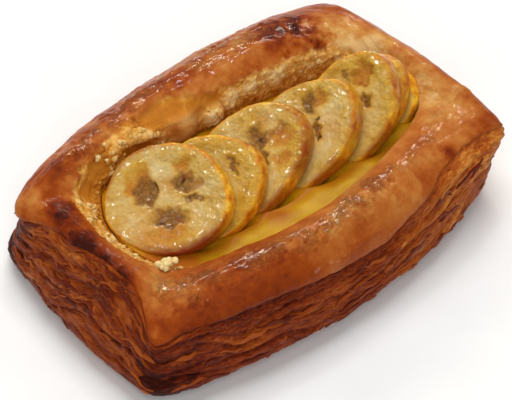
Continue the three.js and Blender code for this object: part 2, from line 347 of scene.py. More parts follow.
sheet_share = np.linspace(0, 1, SHEET_ROWS) ** SHEET_CROWDING
sheet_climb = blend_between(sheet_line, 2, sheet_share[:, None])
wall_climb = np.linspace(2, LOWEST_CLIMB, WALL_ROWS + 1)[1:, None]
wall_climb = np.repeat(wall_climb, len(u), axis=1)
climb = np.vstack([layer_climb, sheet_climb, wall_climb])
is_layer = np.arange(len(climb)) < len(layer_climb)
form = case_form(climb)
print("grid of", form.shape[0], "rows and", form.shape[1], "stations")

# %% [markdown]
# ## Softer, and which way is out
# The parts of the form meet in faint ridges, so each row is moved a little towards its
# neighbours a few times. The relief of the next steps is pushed out along the normal, the
# direction that points straight out of the surface, so the normals are found here as well.

# %% Smooth the form and find its normals
SMOOTHING_PASSES = 10


def smoothed_up(grid, passes):
    """Each row moved towards the mean of the rows below and above it."""
    for _ in range(passes):
        grid = grid.copy()
        grid[1:-1] = 0.5 * grid[1:-1] + 0.25 * (grid[:-2] + grid[2:])
    return grid


def grid_normals(grid):
    round_slope = np.roll(grid, -1, axis=1) - np.roll(grid, 1, axis=1)
    normal = np.cross(round_slope, np.gradient(grid, axis=0))
    return normal / np.maximum(np.linalg.norm(normal, axis=-1, keepdims=True), 1e-9)


form = smoothed_up(form, SMOOTHING_PASSES)
normals = grid_normals(smoothed_up(form, SMOOTHING_PASSES))
step_up = np.linalg.norm(np.diff(form, axis=0, prepend=form[:1]), axis=-1)
across_mm = np.cumsum(step_up, axis=0)
plan = form[..., :2]
print(f"smooth form: {np.ptp(form[..., 0]):.1f} mm long, {form[..., 2].max():.1f} mm high")

# %% [markdown]
# ## Marks that the oven left
# Browning is not even: the left crest is nearly burnt, the right end is pale, and blisters
# take more colour than the dough round them. Each such place is a short path seen from
# above, in millimetres, and a soft distance to the path says how strongly it is marked.

# %% Distance to a path
BURNT_LEFT_CREST = [(-41.5, 20), (-42.6, 16), (-44.2, 9), (-44.4, 1.2), (-44.9, -8)]
BURNT_FAR_RIM = [(30, 28), (33, 29), (36.5, 27), (38.5, 21.5)]
RED_FAR_LEFT_RIM = [(-31.7, 31), (-23, 34.5), (-10, 35.5), (2, 35)]
SHADED_CRUMB = [(-14, 29), (-24, 27.3)]

EVERYWHERE = (-1, 0)

BAKE_MARKS = [  # path, radius, how much darker, and the climbs between which the mark sets in
    (BURNT_LEFT_CREST, 3.2, 0.3, 0.9, 1.2),
    ([(-44.6, 8.4), (-44.8, 6.2)], 2.2, 0.26, 0.9, 1.2),
    ([(-45, 0.8)], 2.2, 0.26, 0.9, 1.2),
    ([(-45.4, -5.5)], 2.2, 0.26, 0.9, 1.2),
    ([(-35, 30.5), (-40.5, 24), (-41.5, 20)], 3, 0.2, *EVERYWHERE),  # red, left of the burnt crest
    (RED_FAR_LEFT_RIM, 4, 0.06, *EVERYWHERE),
    ([(48.5, 21), (49.5, 16), (50, 4), (49.3, -8), (50.5, -18)], 8, -0.12, 0.8, 1),  # right end
    ([(43, 18), (45, 14)], 5.5, -0.34, 0.8, 1),  # pale far corner
    ([(47.5, 8), (46.5, 0), (45.5, -7)], 4.5, -0.18, 1.2, 1.4),  # pale right rim
    ([(-44.5, 28.5), (-43.5, 25)], 5, -0.16, 0.95, 1),  # pale left corner
    ([(0, -22.5), (24, -21), (40, -20.5)], 3.6, 0.1, *EVERYWHERE),  # brown near crest
    ([(8.6, 29.6), (4, 31)], 4, 0.12, *EVERYWHERE),  # brown on the far rim
    ([(19, -26), (28, -21), (36, -15)], 5, 0.05, 0.95, 1.1),  # brown near right
    ([(36.7, -26.2)], 2, 0.38, *EVERYWHERE),  # a red spot near the right tip
    ([(51, -25)], 4, 0.14, *EVERYWHERE),  # the right tip
    ([(22, 31)], 4, -0.16, *EVERYWHERE),  # pale far rim
    # partly a painted highlight: this pale mark lies along the shine of the glaze on the near
    # shoulder
    ([(-7, -27.5), (-1.5, -27.3)], 4, -0.16, *EVERYWHERE),  # pale near shoulder
    ([(-38, -12)], 4, -0.14, *EVERYWHERE),  # pale near left
]


def distance_to_path(points, path):
    """Distance from plan points to a path of straight stretches."""
    path = np.array(path, float)
    if len(path) == 1:
        return np.linalg.norm(points - path[0], axis=-1)
    nearest = np.full(points.shape[:-1], np.inf)
    for start, end in zip(path[:-1], path[1:]):
        along = end - start
        share = np.clip((points - start) @ along / (along @ along), 0, 1)
        gap = np.linalg.norm(points - start - share[..., None] * along, axis=-1)
        nearest = np.minimum(nearest, gap)
    return nearest


def mark(points, path, radius):
    return np.exp(-((distance_to_path(points, path) / radius) ** 2))


print(len(BAKE_MARKS), "places that the oven marked")

# %% [markdown]
# ## Relief of the layered sides
# A layer's lip stands out further in some places than in others, and near the corners and on
# the torn left end the layers are loose. The relief is worked out as one distance along the
# normal for each point of the grid.

# %% Relief of the layers
LIP_RELIEF = 0.4
FOLD_RELIEF = 0.5
STRAND_RELIEF = 0.45
RAGGED_RELIEF = 0.16
FOAM_RELIEF = 0.7  # small blisters along the cut edge just below the sheet
CORNER_FLARE = 1.7  # how far the lowest layers flare out below the two left corners
CORNER_HOLLOW = 1.2
CREASE_WIDTH = 0.3  # the noise below this makes a crease
LOOSE = dict(side=0.3, corner=0.4, left_end=0.8, most=1.2)  # how loose the layers are
CORNER_SPREAD = 0.09  # all three as a share of a side
LEFT_FAR_SPREAD, LEFT_NEAR_SPREAD = 0.12, 0.1
LIP_STRENGTH, LIP_VARIES, LIP_LIMITS = 0.6, 1.3, (0.1, 1.6)
LAYER_DRIFT = 1.6
LEAST_STRAND = 0.6
SIDE_HEIGHT = 20  # about how tall the sides are, to set the grain of the noise up them

share_up = np.clip(layer_climb / sheet_line, 0, 1)
share_mm = share_up * SIDE_HEIGHT
near_corner = np.exp(-(((u - np.round(u)) / CORNER_SPREAD) ** 2))
left_end = fade(3.05, 3.25, u) * (1 - fade(3.8, 3.98, u))
far_left_corner = np.exp(-(((u - 3) / LEFT_FAR_SPREAD) ** 2))
near_left_corner = np.exp(-((np.minimum(u, SIDES - u) / LEFT_NEAR_SPREAD) ** 2))
left_corners = far_left_corner + near_left_corner
looseness = LOOSE["side"] + LOOSE["corner"] * near_corner + LOOSE["left_end"] * left_end
looseness = np.clip(looseness, 0, LOOSE["most"])
lip = LIP_BULGE[np.tile(np.arange(len(LIP_PLACES)), LAYERS)][:, None]
lip_noise = soft_noise(circle_points(9, layer_number[:, None] * 1.3, 1), 60)
lip_strength = np.clip(LIP_STRENGTH + LIP_VARIES * lip_noise, *LIP_LIMITS)
fold = soft_noise(circle_points(13, share_mm, 4.5), 61)
drift = LAYER_DRIFT * looseness * soft_noise(circle_points(11, share_mm, 7), 65)


def strands(along, across, seed):
    """Sharp creases that run along the side, deepest in the middle of each crease."""
    noise = np.abs(soft_noise(circle_points(along, share_mm + drift, across), seed))
    return -np.clip(CREASE_WIDTH - noise, 0, 1) / CREASE_WIDTH


strand = 0.5 * strands(11, 1.7, 62) + 0.5 * strands(7, 0.9, 63)
ragged = rough_noise(circle_points(1.5, share_mm, 1.5), 64)
layer_relief = lip * LIP_RELIEF * lip_strength * fade(1.02, 0.85, share_up)
layer_relief = layer_relief + looseness * FOLD_RELIEF * fold
strand_relief = (LEAST_STRAND + looseness) * STRAND_RELIEF * strand
layer_relief = layer_relief + strand_relief + RAGGED_RELIEF * ragged
flared = fade(0.0, 0.1, share_up) * fade(0.5, 0.25, share_up)
hollow = fade(0.5, 0.75, share_up) * fade(1.0, 0.85, share_up)
layer_relief = layer_relief + left_corners * (CORNER_FLARE * flared - CORNER_HOLLOW * hollow)
foam = np.abs(soft_noise(circle_points(1.1, share_mm, 0.9), 66)) - 0.3
near_the_edge = fade(0.78, 0.86, share_up) * (1 - 0.7 * left_end)
layer_relief = layer_relief + FOAM_RELIEF * foam * near_the_edge
layer_relief = layer_relief * fade(0, 0.02, share_up)
print(f"the layers stand out by up to {layer_relief.max():.2f} mm")

# %% [markdown]
# ## Relief of the glazed sheet
# The sheet stands a little proud of the layers below it and ends in a rolled, ragged lip.
# Above, it has fine wrinkles that run along the rim and small blisters where steam lifted
# the skin. Blisters are domes at seeded places; most are on the far rim and the left rim. In
# a few places a whole patch of skin came loose and stands up a little.

# %% Relief of the sheet
SHEET_STANDS = 0.22
WRINKLE_RELIEF = 0.17
BUCKLE_RELIEF = 0.35
EDGE_WIDTH = 0.35  # the edge of the sheet rises to its full height over this distance
BLISTER_SEED = 21
BLISTER_RADIUS = (0.35, 0.9)
BLISTER_HEIGHT = (0.12, 0.28)  # as a share of the radius
BLISTER_AREAS = [  # path, how far from it, how many
    (RED_FAR_LEFT_RIM, 4.5, 90),
    (BURNT_FAR_RIM, 6, 70),
    ([(10, 34), (25, 33)], 5, 40),
    (BURNT_LEFT_CREST, 3, 40),
    ([(-40, -19), (-20, -24), (0, -26), (22, -25)], 3.5, 70),
]

sheet_mm = np.clip(across_mm - across_mm[len(layer_climb)], 0, None)
wrinkle = rough_noise(circle_points(3.2, across_mm, 1.1), 71)
buckle = soft_noise(circle_points(14, across_mm, 5), 72)
sheet_relief = SHEET_STANDS * (1 - np.exp(-sheet_mm / EDGE_WIDTH))
sheet_relief = sheet_relief + WRINKLE_RELIEF * wrinkle + BUCKLE_RELIEF * buckle

blister_draw = np.random.default_rng(BLISTER_SEED)
blisters = np.zeros(climb.shape)
for path, spread, count in BLISTER_AREAS:
    path = np.array(path, float)
    for _ in range(count):
        stretch = blister_draw.uniform(0, len(path) - 1)
        first = int(stretch)
        centre = blend_between(path[first], path[min(first + 1, len(path) - 1)], stretch - first)
        centre = centre + blister_draw.normal(size=2) * spread / 2
        radius = blister_draw.uniform(*BLISTER_RADIUS)
        height = blister_draw.uniform(*BLISTER_HEIGHT) * radius
        gap = np.linalg.norm(plan - centre, axis=-1) / radius
        blisters = np.maximum(blisters, height * np.sqrt(np.clip(1 - gap**2, 0, 1)))
blisters = blisters * fade(0.9, 1.1, climb) * (1 - fade(1.9, 2.05, climb))

# %% [markdown]
# ## Patches of skin that lifted
# On the near rim and at the right end a thin patch of skin came loose from the dough. Each
# patch is an oval whose edge is moved about by noise, and it stands up by a third of a
# millimetre at most, steep at its edge and flat in the middle. More would look like a sticker.

# %% Patches of skin that lifted
PATCH_WARP = 1.9  # how far the noise moves the edge of a patch
PATCH_WARP_SIZE = 3.2
LIFTED_PATCHES = [  # middle, half length across the rim, half width, how far it stands up
    ((22.0, -27.2), 5.0, 3.0, 0.36), ((13.2, -28.0), 4.6, 3.8, 0.3),
    ((33.0, -24.5), 3.5, 2.0, 0.2), ((-37.0, -18.5), 2.6, 3.0, 0.15),
    ((51.5, -13.5), 0.9, 6.5, 0.3),
]
warp = np.stack([rough_noise(form / PATCH_WARP_SIZE, seed) for seed in (75, 76)], axis=-1)
lifted = np.zeros(climb.shape)
for centre, across_rim, along_rim, stands in LIFTED_PATCHES:
    gap = np.linalg.norm((plan + PATCH_WARP * warp - centre) / (along_rim, across_rim), axis=-1)
    lifted = np.maximum(lifted, stands * fade(1.12, 0.94, gap) * fade(-0.3, 0.9, gap))
lifted = lifted * fade(1.0, 1.1, climb)
print(sum(area[2] for area in BLISTER_AREAS), "blisters,", len(LIFTED_PATCHES), "lifted patches")

# %% [markdown]
# ## The torn wall of the well
# Round the well the skin has torn open and the pale crumb shows, full of small holes and
# little shelves. Noise that is squeezed up and down makes the shelves, and a finer noise
# makes the pores. On the near side the skin rolls smoothly down to the custard instead.

# %% Relief of the torn wall
TORN_LINE = [
    (0, 2.0), (0.1, 2.15), (0.2, 2.45), (0.8, 2.5), (1.9, 2.4), (2.0, 2.0), (2.06, 1.9),
    (2.15, 1.92), (2.35, 1.97), (2.44, 1.97), (2.52, 1.91), (2.58, 1.66), (2.73, 1.63),
    (2.9, 1.74), (2.97, 1.85), (3.05, 1.85), (3.2, 1.93), (3.35, 1.96), (3.57, 1.88),
    (3.72, 1.9), (3.87, 1.96), (4, 2.0),
]
TEAR_RAGGED = 0.06
SHELF_RELIEF = 0.6
PORE_RELIEF = 0.6
GRAIN_RELIEF = 0.14
LUMP_RELIEF = (0.35, 0.25)  # soft lumps about 1.6 mm and 1 mm across
CRUMB_SINKS = 0.2
SMOOTH_ON_BUBBLE = 0.85
WALL_BUBBLE = dict(centre=(-2.8, 23.6, 19.0), radius=4.3, proud=2.3)

WALL_FILMS = [  # smooth stretched dough: place, radius and how far it sinks
    ((-8.0, 26.6, 24.4), 4.6, 0.7), ((-3.2, 25.4, 24.0), 3.4, 0.5),
    ((1.5, 23.4, 22.2), 3.2, 0.5), ((6.5, 24.0, 22.8), 3.2, 0.4),
    ((-13.5, 23.4, 18.6), 3.0, 1.5), ((-17.0, 23.5, 20.0), 2.2, 1.0),
    ((-27.6, 23.6, 20.8), 3.0, 1.2), ((-31.3, 21.9, 18.7), 3.0, 1.2),
    ((-19.5, 29.5, 24.5), 3.6, 0.3),
]
WALL_LEDGES = [  # crumb that stands out into the well: place, radius and how far
    ((-12.8, 23.7, 21.7), 2.0, 1.2), ((-16.3, 25.8, 23.5), 2.6, 0.6),
    ((-21.0, 26.8, 23.6), 2.6, 0.5), ((5.9, 21.8, 17.9), 3.0, 2.0),
    ((11.5, 22.0, 19.6), 2.4, 0.9), ((17.0, 21.2, 20.5), 2.2, 0.7),
    ((24.0, 20.0, 20.5), 2.4, 0.6),
]


def spots(places):
    """How strongly the nearest of some places marks each point, and the push it gives."""
    strength, push = np.zeros(climb.shape), np.zeros(climb.shape)
    for centre, radius, amount in places:
        near = np.exp(-((np.linalg.norm(form - centre, axis=-1) / radius) ** 4))
        strength, push = np.maximum(strength, near), np.maximum(push, amount * near)
    return strength, push


torn_line = line_round(TORN_LINE) + TEAR_RAGGED * rough_noise(circle_points(2.5, 0.0, 1), 81)
torn = fade(-0.02, 0.05, climb - torn_line + 0.05 * soft_noise(form / 1.2, 84))
shelf = rough_noise(circle_points(3.5, across_mm, 1.3), 82)
pore = np.abs(soft_noise(form / 0.9, 83))
grain = soft_noise(form / 0.55, 85)
film, film_sink = spots(WALL_FILMS)
ledge, ledge_stand = spots(WALL_LEDGES)
lumps = LUMP_RELIEF[0] * soft_noise(form / 1.6, 86) + LUMP_RELIEF[1] * soft_noise(form, 87)
pores = PORE_RELIEF * (0.45 - pore) * fade(1.95, 2.1, climb)
crumb_relief = SHELF_RELIEF * shelf - pores + GRAIN_RELIEF * grain + lumps
crumb_relief = crumb_relief * (1 - film) - film_sink + ledge_stand - CRUMB_SINKS
bubble_gap = np.linalg.norm(form - WALL_BUBBLE["centre"], axis=-1) / WALL_BUBBLE["radius"]
bubble = np.exp(-(bubble_gap**2)) * fade(1.9, 2.1, climb)

relief = np.where(is_layer[:, None], 0.0, sheet_relief + lifted)
relief[is_layer] = layer_relief
relief = blend_between(relief + blisters, crumb_relief, torn * (1 - SMOOTH_ON_BUBBLE * bubble))
relief = relief + WALL_BUBBLE["proud"] * bubble
relief = relief * (1 - fade(2.9, 3.0, climb))
case_grid = form + normals * relief[..., None]
print(f"relief from {relief.min():.2f} to {relief.max():.2f} mm")

# %% [markdown]
# ## From grid to mesh
# A grid that closes round becomes a mesh of four-sided faces. The ends are closed by rings
# that shrink to a middle point, so the piece is a closed solid and nothing is hollow.

# %% Mesh helpers
def to_frame(points):
    """Millimetres of the drawing to metres of the frame."""
    return (np.asarray(points) - FOOTPRINT_CENTRE) * MILLIMETRE


def new_mesh(name, points, faces, marks):
    """A smooth mesh that carries a named value at every point."""
    mesh = bpy.data.meshes.new(name)
    mesh.from_pydata(to_frame(points).tolist(), [], faces)
    mesh.shade_smooth()
    for key, values in marks.items():
        layer = mesh.attributes.new(key, "FLOAT", "POINT")
        layer.data.foreach_set("value", np.asarray(values, np.float32))
    return mesh


def closed_mesh(name, grid, first_middle, last_middle, marks):
    """A closed mesh through the rings of a grid, with a middle point at each end."""
    rows, count = grid.shape[:2]
    points = np.concatenate([grid.reshape(-1, 3), [first_middle], [last_middle]])
    here = np.arange(count)
    following = (here + 1) % count
    start = (np.arange(rows - 1) * count)[:, None]
    faces = np.stack([
        start + here, start + following, start + following + count, start + here + count
    ], axis=-1)
    first, last, top = rows * count, rows * count + 1, (rows - 1) * count
    pairs = list(zip(here.tolist(), following.tolist()))
    caps = [(first, b, a) for a, b in pairs] + [(last, top + a, top + b) for a, b in pairs]
    flat = {}
    for key, value in marks.items():
        ends = np.atleast_2d(value)[[0, -1]].mean(axis=1)
        flat[key] = np.concatenate([np.broadcast_to(value, (rows, count)).ravel(), ends])
    return new_mesh(name, points, faces.reshape(-1, 4).tolist() + caps, flat)


def add_piece(mesh, material, replaced=()):
    """Puts a mesh into the scene as a piece of the part."""
    piece = bpy.data.objects.new(mesh.name, mesh)
    bpy.context.scene.collection.objects.link(piece)
    mesh.materials.append(material)
    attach(piece, "root")
    if replaced:
        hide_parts(*replaced)
    sizes = [round(side / MILLIMETRE, 1) for side in piece.dimensions]
    print(f"{piece.name}: {len(mesh.polygons)} faces, {sizes} mm")
    return piece


# %% [markdown]
# ## Mixing colours with nodes
# Every finish here is a small tree of shader nodes. Short helpers keep the cells easy to
# read: one adds a node and joins its inputs, one turns a colour as seen on a screen into the
# linear colour that the shader wants, and the rest each make one kind of node.

# %% Node helpers
def linear(red, green, blue):
    """A screen colour from 0 to 255 as a linear colour."""
    shares = [value / 255 for value in (red, green, blue)]
    return tuple(s / 12.92 if s < 0.04045 else ((s + 0.055) / 1.055) ** 2.4 for s in shares) + (1,)


def new_finish(name):
    material = bpy.data.materials.new(name)
    material.use_nodes = True
    tree = material.node_tree
    return material, tree, tree.nodes["Principled BSDF"]


def set_values(shader, values):
    for key, value in values.items():
        shader.inputs[key].default_value = value


def add_node(tree, kind, inputs=None, output=0, **settings):
    """Adds a node, sets or joins its inputs, and gives back one of its outputs."""
    node = tree.nodes.new(kind)
    for key, value in settings.items():
        setattr(node, key, value)
    for key, value in (inputs or {}).items():
        if isinstance(value, bpy.types.NodeSocket):
            tree.links.new(value, node.inputs[key])
        else:
            node.inputs[key].default_value = value
    return node.outputs[output]


def painted(tree, key):
    """The value that the mesh carries at each point under this name."""
    return add_node(tree, "ShaderNodeAttribute", output=2, attribute_name=key)


def mixed(tree, share, low, high):
    """The colour low where the share is 0 and the colour high where it is 1."""
    return add_node(
        tree, "ShaderNodeMix", {0: share, 6: low, 7: high}, output=2, data_type="RGBA"
    )


def maths(tree, operation, a, b=0.0, clamp=False):
    return add_node(tree, "ShaderNodeMath", {0: a, 1: b}, operation=operation, use_clamp=clamp)


def colour_scale(tree, value, stops):
    """A run of colours: each stop is a place from 0 to 1 and a screen colour."""
    node = tree.nodes.new("ShaderNodeValToRGB")
    ramp = node.color_ramp
    while len(ramp.elements) < len(stops):
        ramp.elements.new(0.5)
    for element, (place, colour) in zip(ramp.elements, stops):
        element.position = place
        element.color = linear(*colour)
    tree.links.new(value, node.inputs[0])
    return node.outputs[0]


def speckle(tree, scale, detail=3.0, roughness=0.55, distortion=0.0):
    """Noise in the piece's own space. The scale is in bumps for each metre."""
    place = add_node(tree, "ShaderNodeTexCoord", output=3)
    return add_node(tree, "ShaderNodeTexNoise", {
        "Vector": place, "Scale": scale, "Detail": detail, "Roughness": roughness,
        "Distortion": distortion,
    })


def cells(tree, scale):
    """Distance from the middle of small round cells, for foam and bubbles."""
    place = add_node(tree, "ShaderNodeTexCoord", output=3)
    inputs = {"Vector": place, "Scale": scale, "Randomness": 1.0}
    return add_node(tree, "ShaderNodeTexVoronoi", inputs)


def bumped(tree, shader, height, distance, strength=1.0):
    inputs = {"Height": height, "Distance": distance, "Strength": strength}
    tree.links.new(add_node(tree, "ShaderNodeBump", inputs), shader.inputs["Normal"])


# %% [markdown]
# ## The baked finish
# One finish serves the whole case. Values carried by the mesh say how dark each place is, from
# its bake and from painted light and shade, where the skin is torn and where layers show. Noise
# breaks them up, a scale of colours turns that darkness into pale gold, orange brown and burnt
# red brown, and a clear coat is the sugar glaze.

# %% Baked pastry finish
BAKE_COLOURS = [  # from pale to burnt
    (0.0, (217, 177, 116)), (0.2, (198, 140, 70)), (0.4, (178, 101, 40)),
    (0.58, (149, 64, 12)), (0.78, (112, 38, 8)), (1.0, (63, 20, 13)),
]
LAYER_COLOURS = [
    (0.0, (209, 140, 60)), (0.3, (171, 86, 28)), (0.55, (137, 56, 17)), (0.8, (101, 33, 12)),
    (1.0, (56, 17, 9)),
]
CRUMB_COLOURS = [
    (0.0, (146, 76, 20)), (0.3, (196, 124, 38)), (0.6, (224, 170, 86)), (1.0, (240, 208, 148)),
]


def scaled(tree, value, factor, shift=0.0, clamp=False):
    """A value times a factor, plus a shift."""
    inputs = {0: value, 1: factor, 2: shift}
    settings = dict(operation="MULTIPLY_ADD", use_clamp=clamp)
    return add_node(tree, "ShaderNodeMath", inputs, **settings)


def layer_streaks(tree):
    """Fine streaks that follow the layers round the side, from about -0.5 to 0.5."""
    parts = {i: painted(tree, key) for i, key in enumerate(("ring_x", "ring_y", "up"))}
    place = add_node(tree, "ShaderNodeCombineXYZ", parts)
    inputs = {"Vector": place, "Scale": 1.0, "Detail": 3.0, "Roughness": 0.6}
    noise = add_node(tree, "ShaderNodeTexNoise", inputs)
    return maths(tree, "MULTIPLY", scaled(tree, noise, 1.0, -0.5), painted(tree, "leaf"))


def glaze_crackle(tree):
    """Veins and small bubbles where the glaze foamed up on the crest."""
    noise = speckle(tree, 620, 4, 0.6, distortion=0.8)
    veins = maths(tree, "ABSOLUTE", scaled(tree, noise, 1.0, -0.5))
    veins = scaled(tree, maths(tree, "MINIMUM", veins, 0.08), -22)
    height = maths(tree, "ADD", veins, scaled(tree, cells(tree, 1100), 1.6))
    return maths(tree, "MULTIPLY", height, painted(tree, "crackle"))


def baked_pastry():
    material, tree, shader = new_finish("baked_pastry")
    cloudy = speckle(tree, 160, 4)
    fine = speckle(tree, 900, 4)
    fine_bake = scaled(tree, fine, 0.2, -0.1)
    bake_and_shading = maths(tree, "ADD", scaled(tree, cloudy, 0.26, -0.13), painted(tree, "bake_and_shading"))
    bake_and_shading = maths(tree, "ADD", bake_and_shading, fine_bake, clamp=True)
    skin = colour_scale(tree, bake_and_shading, BAKE_COLOURS)
    streaks = layer_streaks(tree)
    layers = colour_scale(tree, scaled(tree, streaks, -0.9, bake_and_shading, clamp=True), LAYER_COLOURS)
    skin = mixed(tree, painted(tree, "leaf"), skin, layers)
    crumb_light = maths(tree, "ADD", painted(tree, "light"), fine_bake, clamp=True)
    crumb = colour_scale(tree, crumb_light, CRUMB_COLOURS)
    colour = mixed(tree, painted(tree, "crumb"), skin, crumb)
    tree.links.new(colour, shader.inputs["Base Color"])
    gloss = painted(tree, "gloss")
    tree.links.new(gloss, shader.inputs["Coat Weight"])
    tree.links.new(scaled(tree, gloss, -0.25, 0.62), shader.inputs["Roughness"])
    set_values(shader, {
        "Coat Roughness": 0.1, "Coat IOR": 1.4, "Specular IOR Level": 0.06,
        "Subsurface Weight": 0.12, "Subsurface Radius": (1.0, 0.4, 0.15),
        "Subsurface Scale": 0.0015,
    })
    height = maths(tree, "ADD", scaled(tree, cloudy, 0.5), glaze_crackle(tree))
    height = maths(tree, "ADD", height, scaled(tree, fine, 0.5))
    height = maths(tree, "ADD", height, scaled(tree, streaks, 2.5))
    grain = maths(tree, "MULTIPLY", speckle(tree, 2200, 3), painted(tree, "grain"))
    bumped(tree, shader, maths(tree, "ADD", height, scaled(tree, grain, 2.0)), 0.0003, 0.8)
    return material


pastry_finish = baked_pastry()
print("finish made:", pastry_finish.name)

# %% [markdown]
# ## How dark, how glossy
# Each point of the case carries how dark it is, from its bake and from painted light and
# shade, how light its crumb is, how glossy it is and how much the glaze crackled there. Each
# of these is a plain value with a short list of parts added to it, and every part is an amount
# times the place where it shows. Such a list is easy to read and to change against a photograph.

# %% How dark each place is: bake and painted light and shade
SKIN_BAKE = 0.44
LAYER_BAKE = 0.56
BUBBLE_BAKE = 0.14
RED_ON_BUBBLE = dict(centre=(-6.4, 24.2, 20.6), radius=1.8, bake_and_shading=0.5)
BUBBLE_REACH = 1.6  # how far the bubble's smooth skin spreads


def sum_of(parts):
    """The sum of a list of parts, each an amount and where it shows."""
    return sum(amount * where for amount, where in parts)


near_side = fade(1.05, 0.85, u) * fade(0.0, 0.1, u)
far_side = fade(2.0, 2.2, u) * fade(3.0, 2.8, u)
small_clouds = rough_noise(form / 3.0, 95) * fade(0.9, 1.0, climb)
in_patches = np.clip(0.6 + rough_noise(form / 2.8, 92), 0, 1)
bake_and_shading = SKIN_BAKE + sum_of([
    # painted shade, partly deeper browning: the skin is darker down the shoulder below the crest,
    # where it turns from the light
    (0.17, fade(1.6, 1.15, climb) * (1 - 0.6 * far_side)),  # the shoulder below the crest
    (0.1, soft_noise(form / 7, 91)),
    (0.2, small_clouds), (-0.11, near_side * small_clouds),
    (0.1, near_side), (-0.24, near_side * fade(0.25, 0.55, u)),
    (-0.04, far_side), (-0.26, far_side * fade(2.0, 2.3, climb)),  # the far wall is paler
    (0.58, mark(plan, BURNT_FAR_RIM, 5.2) * in_patches),
    (0.1, blisters > 0.08), (-0.3, lifted),
])
for path, radius, amount, low, high in BAKE_MARKS:
    bake_and_shading = bake_and_shading + amount * mark(plan, path, radius) * fade(low, high, climb)
red_gap = np.linalg.norm(form - RED_ON_BUBBLE["centre"], axis=-1) / RED_ON_BUBBLE["radius"]
red_side = RED_ON_BUBBLE["bake_and_shading"] * np.exp(-(red_gap**2))
on_bubble = np.clip(BUBBLE_REACH * bubble, 0, 1)
bake_and_shading = blend_between(bake_and_shading, BUBBLE_BAKE + red_side, on_bubble)
paler_side = fade(0.45, 0.8, u) * fade(1.9, 1.3, u) * fade(0.0, 0.3, share_up)
bake_and_shading[is_layer] = LAYER_BAKE + sum_of([
    (-0.35, paler_side), (-0.09, left_end),
    (0.22, soft_noise(circle_points(9, layer_number[:, None] * 1.0, 0.8), 93)),  # layer by layer
    # painted light and shade: lips that stand out are painted paler, creases painted darker
    (-0.1, lip), (-0.12, strand),  # lips are pale, creases are dark
    (0.12, 1 - share_up), (0.7, left_corners * (1 - share_up)),  # darker towards the tray
    (0.16, near_side * fade(0.75, 0.95, share_up)),
    (0.1, rough_noise(circle_points(2, share_mm, 1), 94)),
])
print(f"bake from {bake_and_shading.min():.2f} to {bake_and_shading.max():.2f}")

# %% [markdown]
# ## Light crumb and glossy crests
# The crumb is painted pale where its ledges, shelves and grains stand up and painted dark in
# its pores: painted light and shade that follow the relief. Glaze was brushed on while the
# crests were hot, so there it foamed into a crackle, and it hardly reached the layers.

# %% How light the crumb is, and the gloss
CRUMB_LIGHT = 0.38
FILM_LIGHT = 0.22
LEDGE_LIGHT = 0.45
GLOSS = dict(layers=0.15, skin=0.34, crumb=0.25, well=0.15)
LEFT_END_GLOSS = 0.1
FILM_GLOSS = 0.25
CRACKLE_GLOSS = 0.6
BURNT_IS_DULLER = 0.6
LEAST_CRACKLE = 0.06
GLAZED_CRESTS = [  # where the glaze foamed and crackled: path, radius and strength
    ([(-39, -13), (-30.4, -17), (-22, -20.6), (-14, -22.3), (-7.3, -24), (6, -24), (20, -22.5)],
     2.8, 1.0),
    ([(-36.5, -19), (-34, -20)], 3.0, 0.6), ([(20, -24), (38, -20), (43, -16)], 2.4, 0.25),
    ([(-33, 29.5), (-24, 30), (-14, 33), (0, 33.5)], 2.4, 0.8),
    ([(10, 33), (29, 31)], 3.4, 0.7), ([(31, 30), (38, 24)], 4.0, 0.4),
]

crumb = torn * (1 - on_bubble)
# painted light and shade: shelves, grains and pore rims that stand up are lighter, the pits
# between them darker, and the ledges lighter still
light = CRUMB_LIGHT + sum_of([
    (0.3, shelf), (0.3, grain), (0.5, pore), (-0.25, fade(2.5, 3.0, climb)),
    (0.08, fade(12, 20, form[..., 0])), (-0.45, mark(plan, SHADED_CRUMB, 5)),
])
light = blend_between(light, FILM_LIGHT, film) + LEDGE_LIGHT * ledge

patchy = np.clip(0.6 + 1.2 * soft_noise(form / 3.5, 96), 0, 1.3)
crackle = np.zeros(climb.shape)
for path, radius, strength in GLAZED_CRESTS:
    crackle = np.maximum(crackle, strength * patchy * mark(plan, path, radius))
crackle = (LEAST_CRACKLE + crackle) * (1 - crumb) * fade(1.0, 1.1, climb)

plain = np.where(is_layer[:, None], GLOSS["layers"] + LEFT_END_GLOSS * left_end, GLOSS["skin"])
gloss = blend_between(plain, GLOSS["crumb"] + FILM_GLOSS * film, crumb)
gloss = gloss * (1 - BURNT_IS_DULLER * mark(plan, BURNT_LEFT_CREST, 5))
gloss = np.clip(gloss + CRACKLE_GLOSS * crackle, 0, 1) * fade(2.0, 1.65, climb)
gloss = gloss + GLOSS["well"] * fade(1.65, 2.0, climb)

# %% [markdown]
# ## The case as one piece
# Now the relief, the marks of the oven and the closing rings come together. The lip of the
# top sheet is rolled under by moving its first rows down, which gives a real overhang.
# A case with a few flat rings added below and in the well is one closed solid.

# %% The pastry case
UNDERSIDE_RINGS = 5
UNDERSIDE_SHARES = (0.12, 0.96)  # how far in the rings of the underside lie
WELL_RINGS = [(13.0, 0.02), (WELL_FLOOR, 0.12)]  # height, and how far in
LIP_DOWN = np.array([0.1, 0.2, 0.12, 0.05])  # how far the first rows of the sheet drop
STREAK_TALL = 0.5
CRACKLE_HEIGHT = 1.6

first = len(layer_climb)
upright = fade(0.4, 0.8, np.sum(normals[first, :, :2] ** 2, axis=-1))
case_grid[first : first + len(LIP_DOWN), :, 2] -= LIP_DOWN[:, None] * upright
case_grid[..., 2] = np.maximum(case_grid[..., 2], 0)
case_grid[0, :, 2] = 0

streak_up = np.zeros(climb.shape)
streak_up[is_layer] = (share_mm + drift) / STREAK_TALL


